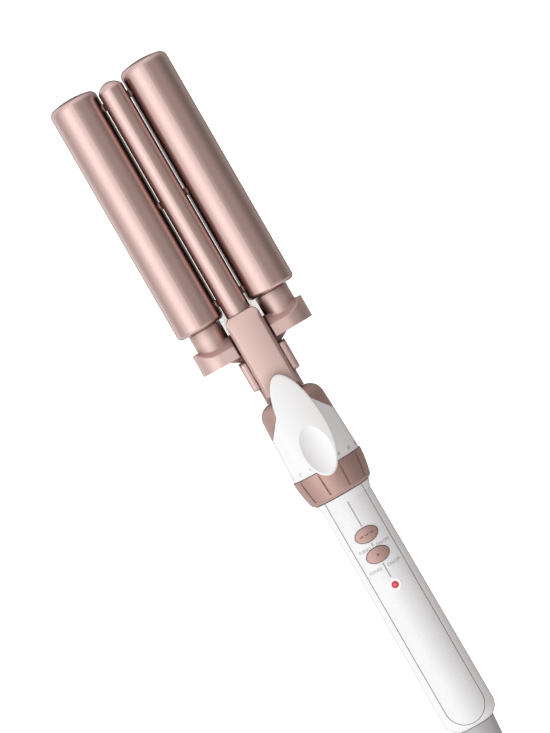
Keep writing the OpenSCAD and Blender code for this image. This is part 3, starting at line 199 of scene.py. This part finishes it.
# Moulded plastics: an even body under a gloss that a polished or blasted tool leaves, with the
# slow waviness of large mouldings in the tone and a fine grain in roughness and height.
whiteLook = {"pale": "#F8F8F8", "deep": "#F3F3F4", "rough": 0.24, "wave": 22 * mm,
             "fine": 0.8 * mm, "edge": 0.35 * mm, "grainDepth": 0.01 * mm,
             "smoother": 0.04, "rougher": 0.05, "waveDetail": 1.0, "ior": 1.53}
panelLook = dict(whiteLook, pale="#F4F4F5", deep="#EFEFF1", rough=0.27,
                 wave=18 * mm, fine=0.8 * mm, edge=0.2 * mm)
studLook = dict(whiteLook, pale="#B7968F", deep="#A9877F", rough=0.55,
                wave=3 * mm, fine=0.4 * mm, edge=0.3 * mm)
glandLook = dict(whiteLook, pale="#C2C1C3", deep="#B8B7B9", rough=0.48,
                 wave=6 * mm, fine=0.5 * mm, edge=0.4 * mm)
blackLook = dict(whiteLook, pale="#2A2A2C", deep="#222224", rough=0.5,
                 wave=5 * mm, fine=0.4 * mm, edge=0.2 * mm)
ceramicLook = dict(whiteLook, pale="#EAE4D6", deep="#DED7C7", rough=0.6,
                   wave=4 * mm, fine=0.3 * mm, edge=0.2 * mm)
laminateLook = dict(whiteLook, pale="#2F6B45", deep="#26583A", rough=0.35,
                    wave=3 * mm, fine=0.6 * mm, edge=0.1 * mm)
inkLook = dict(whiteLook, pale="#6F6F72", deep="#636366", rough=0.6,
               wave=2 * mm, fine=0.3 * mm, edge=0.02 * mm)
faintInkLook = dict(whiteLook, pale="#A2A2A4", deep="#969698", rough=0.6,
                    wave=2 * mm, fine=0.3 * mm, edge=0.02 * mm)
markLook = dict(whiteLook, pale="#8A5F58", deep="#7A524B", rough=0.5,
                wave=1 * mm, fine=0.2 * mm, edge=0.05 * mm)


def mouldedPlastic(look, name):
    mat, tree, place, output = newMaterial(name)
    fine = lumps(tree, place, look["fine"])
    slow = lumps(tree, place, look["wave"], look["waveDetail"])
    surface(tree, output, {
        "IOR": look["ior"],
        "Base Color": twoTones(tree, slow, look["deep"], look["pale"]),
        "Roughness": roughAround(tree, fine, look),
        "Normal": grainNormal(tree, fine, look["grainDepth"], look["edge"])})
    return mat


# The lamp glows from inside: the tone falls from the middle of the lens outwards, over a radius.
lensLook = {"pale": "#E8636B", "deep": "#A50E22", "reach": 1.8 * mm, "glow": 0.3,
            "rough": 0.12, "ior": 1.49}
bezelLook = dict(lensLook, pale="#FFC9CC", deep="#FFE9EA", reach=3.2 * mm, glow=0.35, rough=0.3)


def glowingPlastic(look, name):
    mat, tree, place, output = newMaterial(name)
    middle = ((lensLow.x + lensHigh.x) / 2, (lensLow.y + lensHigh.y) / 2, lensHigh.z)
    apart = addNode(tree, "VectorMath", {"operation": "DISTANCE", 0: place, 1: middle})
    near = addNode(tree, "MapRange", {"Value": apart.outputs["Value"], "From Max": look["reach"],
                                      "To Min": 1.0, "To Max": 0.0})
    tone = twoTones(tree, near.outputs["Result"], look["deep"], look["pale"])
    surface(tree, output, {
        "IOR": look["ior"],
        "Base Color": tone,
        "Roughness": look["rough"],
        "Emission Color": tone,
        "Emission Strength": look["glow"]})
    return mat


# Bare metals: one tone, with lengthwise drawing or turning lines in roughness and height.
steelLook = {"tone": "#C4C5C8", "rough": 0.28, "line": 0.25 * mm, "stretch": 20.0,
             "grainDepth": 0.01 * mm, "edge": 0.2 * mm, "smoother": 0.06, "rougher": 0.08}
standLook = dict(steelLook, tone="#C9C9CC", rough=0.34, line=0.3 * mm)
brassLook = dict(steelLook, tone="#CDAE66", rough=0.3)
blockLook = dict(steelLook, tone="#C8C9CC", rough=0.38, line=0.35 * mm)


def workedMetal(look, name):
    mat, tree, place, output = newMaterial(name)
    squeezed = addNode(tree, "Mapping", {"Vector": place, "Scale": (1 / look["stretch"], 1.0, 1.0)})
    lines = lumps(tree, squeezed.outputs["Vector"], look["line"])
    surface(tree, output, {
        "Metallic": 1.0,
        "Base Color": toLinear(look["tone"]),
        "Roughness": roughAround(tree, lines, look),
        "Normal": grainNormal(tree, lines, look["grainDepth"], look["edge"])})
    return mat


white = mouldedPlastic(whiteLook, "polishedWhiteMoulding")
ink = mouldedPlastic(inkLook, "greyPadPrint")
faintInk = mouldedPlastic(faintInkLook, "paleGreyPadPrint")
mark = mouldedPlastic(markLook, "rosePadPrint")
finishes = {
    "rose_coating": roseLacquer(barrelLook, "bakedRoseLacquer"),
    "rose_cast": roseLacquer(castingLook, "lacqueredRoseCasting"),
    "rose_plastic": roseLacquer(metallisedLook, "metallisedRoseMoulding"),
    "white_plastic": white,
    "panel_plastic": mouldedPlastic(panelLook, "satinWhiteMoulding"),
    "stud_plastic": mouldedPlastic(studLook, "heatproofStudMoulding"),
    "red_lens": glowingPlastic(lensLook, "clearRedMoulding"),
    "gland_plastic": mouldedPlastic(glandLook, "greyGlandMoulding"),
    "inner_plastic": mouldedPlastic(blackLook, "blackInnerMoulding"),
    "bush_ceramic": mouldedPlastic(ceramicLook, "firedInsulator"),
    "board_laminate": mouldedPlastic(laminateLook, "glassFibreLaminate"),
    "block_aluminium": workedMetal(blockLook, "extrudedAluminium"),
    "steel": workedMetal(steelLook, "platedSteel"),
    "stand_steel": workedMetal(standLook, "pressedPlatedSheet"),
    "brass": workedMetal(brassLook, "stampedBrass"),
}
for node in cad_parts.values():
    for slot in node.material_slots:
        slot.material = finishes[slot.material.name.split(".")[0]]
ownFinishes = {
    "lamp_bezel": glowingPlastic(bezelLook, "litWhiteMoulding"),
    "clamp_arm": roseLacquer(armLook, "crownedRoseCasting"),
}
for name, mat in ownFinishes.items():
    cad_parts[name].material_slots[0].material = mat
print("materials:", len(bpy.data.materials))


# A mesh object from whole arrays of corners and faces, smooth shaded, with its material.
def meshPiece(name, corners, faces, mat):
    mesh = bpy.data.meshes.new(name)
    mesh.from_pydata(corners.tolist(), [], faces)
    mesh.polygons.foreach_set("use_smooth", np.ones(len(mesh.polygons), dtype=bool))
    mesh.materials.append(mat)
    mesh.update()
    piece = bpy.data.objects.new(name, mesh)
    scene.collection.objects.link(piece)
    return piece


# the mesh that an object has now, with its modifiers or its text worked out
def meshNow(piece):
    ready = piece.evaluated_get(bpy.context.evaluated_depsgraph_get())
    return bpy.data.meshes.new_from_object(ready)


# Quads of a grid of rows by columns whose columns close on themselves. Each end of the rows is
# closed by a fan to one more corner, numbered after the grid.
def closedFaces(rows, columns):
    row = np.arange(rows - 1)[:, None] * columns
    here = np.arange(columns)[None, :]
    after = (here + 1) % columns
    quads = np.stack([row + here, row + columns + here, row + columns + after, row + after], -1)
    quads = quads.reshape(-1, 4)
    first, last, foot = rows * columns, rows * columns + 1, (rows - 1) * columns
    side, following = here.ravel(), after.ravel()
    start = np.stack([np.full(columns, first), side, following], -1)
    end = np.stack([np.full(columns, last), foot + following, foot + side], -1)
    return quads.tolist() + start.tolist() + end.tolist()


# Hinge ears: the frame's own mesh, merged, with the upper outer edges of its two ears rolled over.
# An ear's corners are those beyond its side plane, above a height and short of the yoke, apart from
# the round seat of the hinge pin.
earLook = {"roll": 2.3 * mm, "segments": 6, "side": 13.1 * mm, "above": 22 * mm, "front": 39 * mm,
           "seatTop": 29.7 * mm, "seatMiddle": 28.8 * mm, "seatHalf": 6 * mm,
           "weld": 0.001 * mm, "flat": math.radians(0.5), "sharp": math.radians(28)}


def makeRolledFrame():
    look = earLook
    work = bmesh.new()
    work.from_mesh(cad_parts["back_frame"].data)
    bmesh.ops.remove_doubles(work, verts=work.verts, dist=look["weld"])
    bmesh.ops.dissolve_limit(work, angle_limit=look["flat"], verts=work.verts, edges=work.edges)
    mesh = bpy.data.meshes.new("rolledFrame")
    work.to_mesh(mesh)
    work.free()
    corners = np.empty(len(mesh.vertices) * 3)
    mesh.vertices.foreach_get("co", corners)
    x, y, z = corners.reshape(-1, 3).T
    ear = (np.abs(y) > look["side"]) & (z > look["above"]) & (x < look["front"])
    ear &= (z > look["seatTop"]) | (np.abs(x - look["seatMiddle"]) > look["seatHalf"])
    ends = np.empty(len(mesh.edges) * 2, dtype=int)
    mesh.edges.foreach_get("vertices", ends)
    rolled = ear[ends.reshape(-1, 2)].all(axis=1)
    weight = mesh.attributes.new("bevel_weight_edge", "FLOAT", "EDGE")
    weight.data.foreach_set("value", rolled.astype(float))
    mesh.polygons.foreach_set("use_smooth", np.ones(len(mesh.polygons), dtype=bool))
    mesh.set_sharp_from_angle(angle=look["sharp"])
    piece = bpy.data.objects.new("rolledFrame", mesh)
    scene.collection.objects.link(piece)
    mesh.materials.clear()
    mesh.materials.append(finishes["rose_cast"])
    roll = piece.modifiers.new("roll", "BEVEL")
    roll.limit_method, roll.width, roll.segments = "WEIGHT", look["roll"], look["segments"]
    roll.use_clamp_overlap, roll.harden_normals = False, True
    print("hinge ears: edges rolled", int(rolled.sum()))
    return piece


rolledFrame = makeRolledFrame()
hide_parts("back_frame")
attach(rolledFrame, "handle")


# Thumb lever. Seen from the front its outline is two half ellipses that share the widest place.
# From the side it is an arc band through its front point and its tip, crowned across, and an
# elliptic dish is pressed into it near the tip.
leverLook = {"front": 31 * mm, "halfWidth": 10.75 * mm, "thick": 2.6 * mm, "skin": 1.1 * mm,
             "step": 2.2 * mm, "curve": 270 * mm, "crown": 40 * mm, "edge": 0.55 * mm,
             "dishBack": 14 * mm, "dishLength": 25.4 * mm, "dishWidth": 14.8 * mm,
             "dishDepth": 3.0 * mm, "dishPower": 0.9,
             "around": 288, "topRows": 72, "edgeRows": 9, "underRows": 14}


# centre of the lever's arc: on the perpendicular through the middle of the chord of its top line
def leverArc():
    look = leverLook
    radius = look["curve"] + look["thick"]
    tip = np.array([leverLow.x, leverHigh.z])
    front = np.array([leverHigh.x, armHigh.z + look["step"] + look["thick"]])
    chord = front - tip
    length = np.hypot(*chord)
    down = np.array([chord[1], -chord[0]]) / length
    middle = (tip + front) / 2
    return middle + down * math.sqrt(radius ** 2 - (length / 2) ** 2), radius


# depth of the dish at places (x, y): a paraboloid inside its ellipse, made steeper at the rim
def dishAt(x, y):
    look = leverLook
    along = (x - leverLow.x - look["dishBack"]) / (look["dishLength"] / 2)
    out = along ** 2 + (y / (look["dishWidth"] / 2)) ** 2
    return look["dishDepth"] * np.clip(1 - out, 0, 1) ** look["dishPower"]


# height of the lever's top at places (x, y): the arc, less the crown's fall across, less the dish
def leverTop(x, y):
    center, radius = leverArc()
    fall = leverLook["crown"] - np.sqrt(leverLook["crown"] ** 2 - y ** 2)
    return center[1] + np.sqrt((radius - fall) ** 2 - (x - center[0]) ** 2) - dishAt(x, y)


# height of its underside: the arc again, bulged down where the dish leaves less than the skin
def leverUnder(x, y):
    center, radius = leverArc()
    bulge = np.maximum(dishAt(x, y) - leverLook["thick"] + leverLook["skin"], 0)
    return center[1] + np.sqrt((radius - leverLook["thick"]) ** 2 - (x - center[0]) ** 2) - bulge


# Each ring is the outline drawn inwards by a share: rings run from the middle of the top to its
# edge, round the edge on a half circle, and back to the middle below.
def makeLever():
    look = leverLook
    middle = leverHigh.x - look["front"]
    turn = np.linspace(0, 2 * math.pi, look["around"], endpoint=False)
    reach = np.where(np.cos(turn) > 0, look["front"], middle - leverLow.x)
    inset = look["edge"] / look["halfWidth"]
    bend = np.linspace(math.pi / 2, -math.pi / 2, look["edgeRows"] + 2)[1:-1]
    share = np.concatenate([np.linspace(0, 1, look["topRows"] + 1)[1:] * (1 - inset),
                            1 - inset + inset * np.cos(bend),
                            np.linspace(1, 0, look["underRows"] + 1)[:-1] * (1 - inset)])
    lift = np.concatenate([np.ones(look["topRows"]), np.sin(bend), -np.ones(look["underRows"])])
    x = middle + share[:, None] * reach * np.cos(turn)
    y = share[:, None] * look["halfWidth"] * np.sin(turn)
    high, low = leverTop(x, y), leverUnder(x, y)
    z = (high + low) / 2 + lift[:, None] * (high - low) / 2
    ends = np.array([[middle, 0, leverTop(middle, 0.0)], [middle, 0, leverUnder(middle, 0.0)]])
    corners = np.concatenate([np.stack([x, y, z], -1).reshape(-1, 3), ends])
    return meshPiece("leverPlate", corners, closedFaces(len(share), look["around"]), white)


# Foot of the lever: sections along the object, each a rounded rectangle from the arm's top to the
# middle of the plate, as wide as the lever's outline or the arm's flat top, whichever is less.
footLook = {"halfWidth": 7.6 * mm, "sections": 40, "around": 48, "square": 0.25,
            "start": 0.6 * mm, "inset": 0.2 * mm, "lift": 0.02 * mm}


# a cosine or sine pushed out towards 1, which turns a circle into a rounded rectangle
def squared(value):
    return np.sign(value) * np.abs(value) ** footLook["square"]


def makeLeverFoot():
    look = footLook
    front = leverHigh.x - look["start"]
    x = np.linspace(front, armLow.x, look["sections"])[:, None]
    along = (x - leverHigh.x + leverLook["front"]) / leverLook["front"]
    outline = leverLook["halfWidth"] * np.sqrt(1 - along ** 2) - look["inset"]
    half = np.minimum(outline, look["halfWidth"])
    turn = np.linspace(0, 2 * math.pi, look["around"], endpoint=False)
    y = half * squared(np.cos(turn))
    low, high = armHigh.z + look["lift"], (leverUnder(x, y) + leverTop(x, y)) / 2
    z = (low + high) / 2 + (high - low) / 2 * squared(np.sin(turn))
    x = x + 0 * y
    ends = np.array([[x[0, 0], 0, z[0].mean()], [x[-1, 0], 0, z[-1].mean()]])
    corners = np.concatenate([np.stack([x, y, z], -1).reshape(-1, 3), ends])
    return meshPiece("leverFoot", corners, closedFaces(look["sections"], look["around"]), white)


lever = makeLever()
leverFoot = makeLeverFoot()
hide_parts("thumb_lever")
for piece in (lever, leverFoot):
    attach(piece, "clamp")
print("thumb lever and its foot")


# Flat print wrapped round the handle's axis: a point (u, v) of the flat drawing goes to the station
# u, turned by v / radius from the top. Then it is pulled onto the surface below, a film's
# thickness out.
filmThickness = 0.04 * mm


def wrapOnto(name, drawings, radius, target, body, mat):
    flat, faces = joinFlat(drawings)
    u, v = flat.T
    corners = np.stack([u, radius * np.sin(v / radius), axisHeight + radius * np.cos(v / radius)], -1)
    piece = meshPiece(name, corners, faces, mat)
    pull = piece.modifiers.new("pull", "SHRINKWRAP")
    pull.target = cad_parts[target]
    pull.wrap_method = "NEAREST_SURFACEPOINT"
    pull.wrap_mode = "ABOVE_SURFACE"
    pull.offset = filmThickness
    baked = meshNow(piece)
    piece.modifiers.remove(pull)
    piece.data = baked
    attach(piece, body)


# Corners and faces of a line of text: its letters stand with their heads towards the tips and read
# from +Y to -Y. The font's capitals are a fixed share of its size.
capitalShare = 0.7


def flatText(text, height, station, across, align="CENTER"):
    curve = bpy.data.curves.new("letters", "FONT")
    curve.body, curve.size = text, height / capitalShare
    curve.align_x, curve.align_y = align, "CENTER"
    holder = bpy.data.objects.new("letters", curve)
    scene.collection.objects.link(holder)
    mesh = meshNow(holder)
    points = np.empty(len(mesh.vertices) * 3)
    mesh.vertices.foreach_get("co", points)
    points = points.reshape(-1, 3)
    faces = [list(p.vertices) for p in mesh.polygons]
    bpy.data.objects.remove(holder)
    return np.stack([station + points[:, 1], across - points[:, 0]], -1), faces


# several drawings as one
def joinFlat(drawings):
    corners, faces, count = [], [], 0
    for points, drawn in drawings:
        corners.append(points)
        faces += [[count + i for i in face] for face in drawn]
        count += len(points)
    return np.concatenate(corners), faces


# A stroke of even width along a flat path: two rows of corners, each half a width to one side
def stroke(path, width):
    path = np.asarray(path)
    ahead = np.gradient(path, axis=0)
    side = np.stack([-ahead[:, 1], ahead[:, 0]], -1) / np.hypot(*ahead.T)[:, None] * width / 2
    count = len(path)
    i = np.arange(count - 1)
    faces = np.stack([i, i + 1, count + i + 1, count + i], -1).tolist()
    return np.concatenate([path + side, path - side]), faces


# Numbers round the collar, one at each place of the dial.
numberLook = {"numbers": ("1", "5", "10", "15", "20", "25", "30"), "step": math.radians(24),
              "height": 1.7 * mm, "fromDial": 2.9 * mm}


def makeNumbers():
    look = numberLook
    middle = (len(look["numbers"]) - 1) / 2
    pitch = look["step"] * collarRadius
    station = dialHigh.x + look["fromDial"]
    drawings = [flatText(text, look["height"], station, (middle - i) * pitch)
                for i, text in enumerate(look["numbers"])]
    wrapOnto("dialNumbers", drawings, collarRadius, "number_collar", "handle", ink)


# Line down the middle of the panel, broken at the buttons, and a legend beside each button.
panelPrint = {"lineWidth": 0.6 * mm, "start": 4.6 * mm, "end": 2.6 * mm, "gap": 0.35 * mm, "points": 24,
              "legendHeight": 1.6 * mm, "legendBack": 2.6 * mm, "legendSide": 1.6 * mm,
              "names": ("TURBO", "POWER"), "switching": "ON/OFF"}


def makePanelPrint():
    look = panelPrint
    stops = [dialLow.x - look["start"], turboHigh.x + look["gap"], turboLow.x - look["gap"],
             powerHigh.x + look["gap"], powerLow.x - look["gap"], lensHigh.x + look["end"]]
    level = np.zeros(look["points"])
    lines = [stroke(np.stack([np.linspace(a, b, look["points"]), level], -1), look["lineWidth"])
             for a, b in zip(stops[::2], stops[1::2])]
    legends = []
    for name, low in zip(look["names"], (turboLow.x, powerLow.x)):
        for text, side, align in ((name, 1, "RIGHT"), (look["switching"], -1, "LEFT")):
            legends.append(flatText(text, look["legendHeight"], low - look["legendBack"],
                                    side * look["legendSide"], align))
    for name, drawings in (("panelLine", lines), ("panelLegends", legends)):
        wrapOnto(name, drawings, buttonRadius, "front_panel", "handle", faintInk)


# Marks printed on the buttons: three arcs on the turbo button, one small ring on the power button.
# Each arc is set back by a share of its radius, so that it stands in the middle of the button.
buttonMarks = {"arcRadius": 0.95 * mm, "arcSpan": math.radians(75), "arcPitch": 2.9 * mm,
               "arcBack": 0.7, "arcPoints": 20, "ringRadius": 0.45 * mm, "ringPoints": 33,
               "width": 0.55 * mm}


def makeButtonMarks():
    look = buttonMarks
    turn = np.linspace(-look["arcSpan"], look["arcSpan"], look["arcPoints"])
    along = (turboLow.x + turboHigh.x) / 2 - look["arcRadius"] * (np.cos(turn) - look["arcBack"])
    across = look["arcRadius"] * np.sin(turn)
    arcs = [stroke(np.stack([along, place * look["arcPitch"] + across], -1), look["width"])
            for place in (-1, 0, 1)]
    turn = np.linspace(0, 2 * math.pi, look["ringPoints"])
    along = (powerLow.x + powerHigh.x) / 2 + look["ringRadius"] * np.cos(turn)
    ring = stroke(np.stack([along, look["ringRadius"] * np.sin(turn)], -1), look["width"])
    for name, body, drawings in (("turboMarks", "turbo", arcs), ("powerMark", "power", [ring])):
        wrapOnto(name, drawings, buttonRadius, body + "_button", body, mark)


makeNumbers()
makePanelPrint()
makeButtonMarks()
print("numbers, panel print and button marks")

# the photograph's frame: its size in pixels, the real size of one, and how the object lies in it
photoView = {"pixels": (550, 733), "pixelSize": 0.5 * mm, "turn": math.radians(29.9),
             "tilt": math.radians(2), "target": Vector((26.9, -2.25, 20)) * mm, "distance": 2.2,
             "farthest": 50}


# puts a camera or a lamp at a distance from the target, facing it, with its own right and up
def placeHolder(data, toward, distance, right, up):
    holder = bpy.data.objects.new(data.name, data)
    turned = Matrix((right, up, toward)).transposed().to_4x4()
    holder.matrix_world = Matrix.Translation(photoView["target"] + toward * distance) @ turned
    scene.collection.objects.link(holder)
    return holder


# camera over the target: tilted back along the object, its up turned to the object's slant
def placeCamera():
    tilt, turn = photoView["tilt"], photoView["turn"]
    back = Vector((math.sin(tilt), 0, math.cos(tilt)))
    up = Vector((math.cos(turn), -math.sin(turn), 0))
    up = (up - up.dot(back) * back).normalized()
    right = up.cross(back)
    cam = bpy.data.cameras.new("photoCamera")
    frameHeight = photoView["pixels"][1] * photoView["pixelSize"]
    cam.lens = cam.sensor_width * photoView["distance"] / frameHeight
    cam.clip_end = photoView["farthest"]
    scene.camera = placeHolder(cam, back, photoView["distance"], right, up)


# A wide white sheet, lit through from behind. Where the object lies close, a shadow is painted on it:
# its glow is held off and its colour turns to the dark gap tone, between the openness that counts as
# shut and the one that counts as open.
floorLook = {"half": 6.0, "pale": "#F4F4F4", "deep": "#EFEFEF", "gap": "#4A3B38", "cloud": 0.4,
             "rough": 0.9, "glow": 1.1, "reach": 25 * mm, "shut": 0.1, "open": 0.3}


def makeFloor():
    look, half = floorLook, floorLook["half"]
    corners = np.array([(-half, -half, 0), (half, -half, 0), (half, half, 0), (-half, half, 0)])
    mat, tree, place, output = newMaterial("backlitStudioSheet")
    tone = twoTones(tree, lumps(tree, place, look["cloud"]), look["deep"], look["pale"])
    # painted shadow: how open the sheet is near the object darkens it to the gap tone and holds off its
    # glow
    sky = openness(tree, shading["floorSamples"], look["reach"])
    free = addNode(tree, "MapRange", {"Value": sky, "From Min": look["shut"], "From Max": look["open"]})
    free = free.outputs["Result"]
    surface(tree, output, {
        "Base Color": mixTones(tree, free, toLinear(look["gap"]), tone),
        "Roughness": look["rough"],
        "Emission Color": (1, 1, 1, 1),
        "Emission Strength": spread(tree, free, 0.0, look["glow"])})
    floor = meshPiece("studioFloor", corners, [(0, 1, 2, 3)], mat)
    floor.visible_glossy = False
    floor.visible_diffuse = False


# A softbox: its angle from straight overhead towards +Y, its distance, its size along and across the
# object, and its radiance.
softboxLook = {"angle": math.radians(42), "distance": 0.9, "along": 1.6, "across": 0.5, "radiance": 0.3}


def makeSoftbox():
    look = softboxLook
    toward = Vector((0, math.sin(look["angle"]), math.cos(look["angle"])))
    lamp = bpy.data.lights.new("keySoftbox", "AREA")
    lamp.shape = "RECTANGLE"
    lamp.size, lamp.size_y = look["along"], look["across"]
    lamp.energy = look["radiance"] * math.pi * look["along"] * look["across"]
    along = Vector((1, 0, 0))
    placeHolder(lamp, toward, look["distance"], along, toward.cross(along))


# Light tent: its brightness by the angle in degrees round the object, from straight overhead (0)
# towards +Y (positive), and one brightness for its two ends. What is darker than the grey level
# takes on the shade's tint, over the span above it.
tentLook = {"rounds": ((-180, 0.10), (-160, 0.14), (-140, 0.46), (-122, 0.42), (-104, 0.26),
                       (-88, 0.22), (-70, 0.32), (-50, 0.48), (-38, 0.48), (-26, 0.44), (-14, 0.54),
                       (0, 0.90), (12, 1.22), (24, 1.38), (38, 1.34), (50, 1.26), (62, 1.14),
                       (75, 0.94), (90, 0.70), (102, 0.64), (118, 0.80), (138, 1.15), (160, 0.30),
                       (180, 0.10)),
            "ends": 1.1, "endPower": 3.0, "shade": (1.0, 0.93, 0.89), "grey": 0.5, "span": 0.4}


def makeTent():
    look = tentLook
    world = bpy.data.worlds.new("lightTent")
    scene.world = world
    world.use_nodes = True
    tree = world.node_tree
    tree.nodes.clear()
    way = addNode(tree, "TexCoord").outputs["Generated"]
    parts = addNode(tree, "SeparateXYZ", {"Vector": way}).outputs
    angle = calculate(tree, "ARCTAN2", parts["Y"], parts["Z"])
    turn = addNode(tree, "MapRange", {"Value": angle, "From Min": -math.pi, "From Max": math.pi})
    ramp = addNode(tree, "ValToRGB", {"Fac": turn.outputs["Result"]})
    stops = ramp.color_ramp.elements
    for degrees, level in look["rounds"][1:-1]:
        stops.new(degrees / 360 + 0.5)
    for stop, (degrees, level) in zip(stops, look["rounds"]):
        bright = min(max((level - look["grey"]) / look["span"], 0), 1)
        stop.color = [level * (shade + (1 - shade) * bright) for shade in look["shade"]] + [1]
    toEnd = calculate(tree, "POWER", calculate(tree, "ABSOLUTE", parts["X"]), look["endPower"])
    ends = (look["ends"], look["ends"], look["ends"], 1)
    tent = addNode(tree, "Background", {"Color": mixTones(tree, toEnd, ramp.outputs["Color"], ends)})
    addNode(tree, "OutputWorld", {"Surface": tent.outputs["Background"]})


placeCamera()
makeFloor()
makeSoftbox()
makeTent()
scene.view_settings.view_transform = "Standard"
print("camera, floor and light")


print("visual model finished")
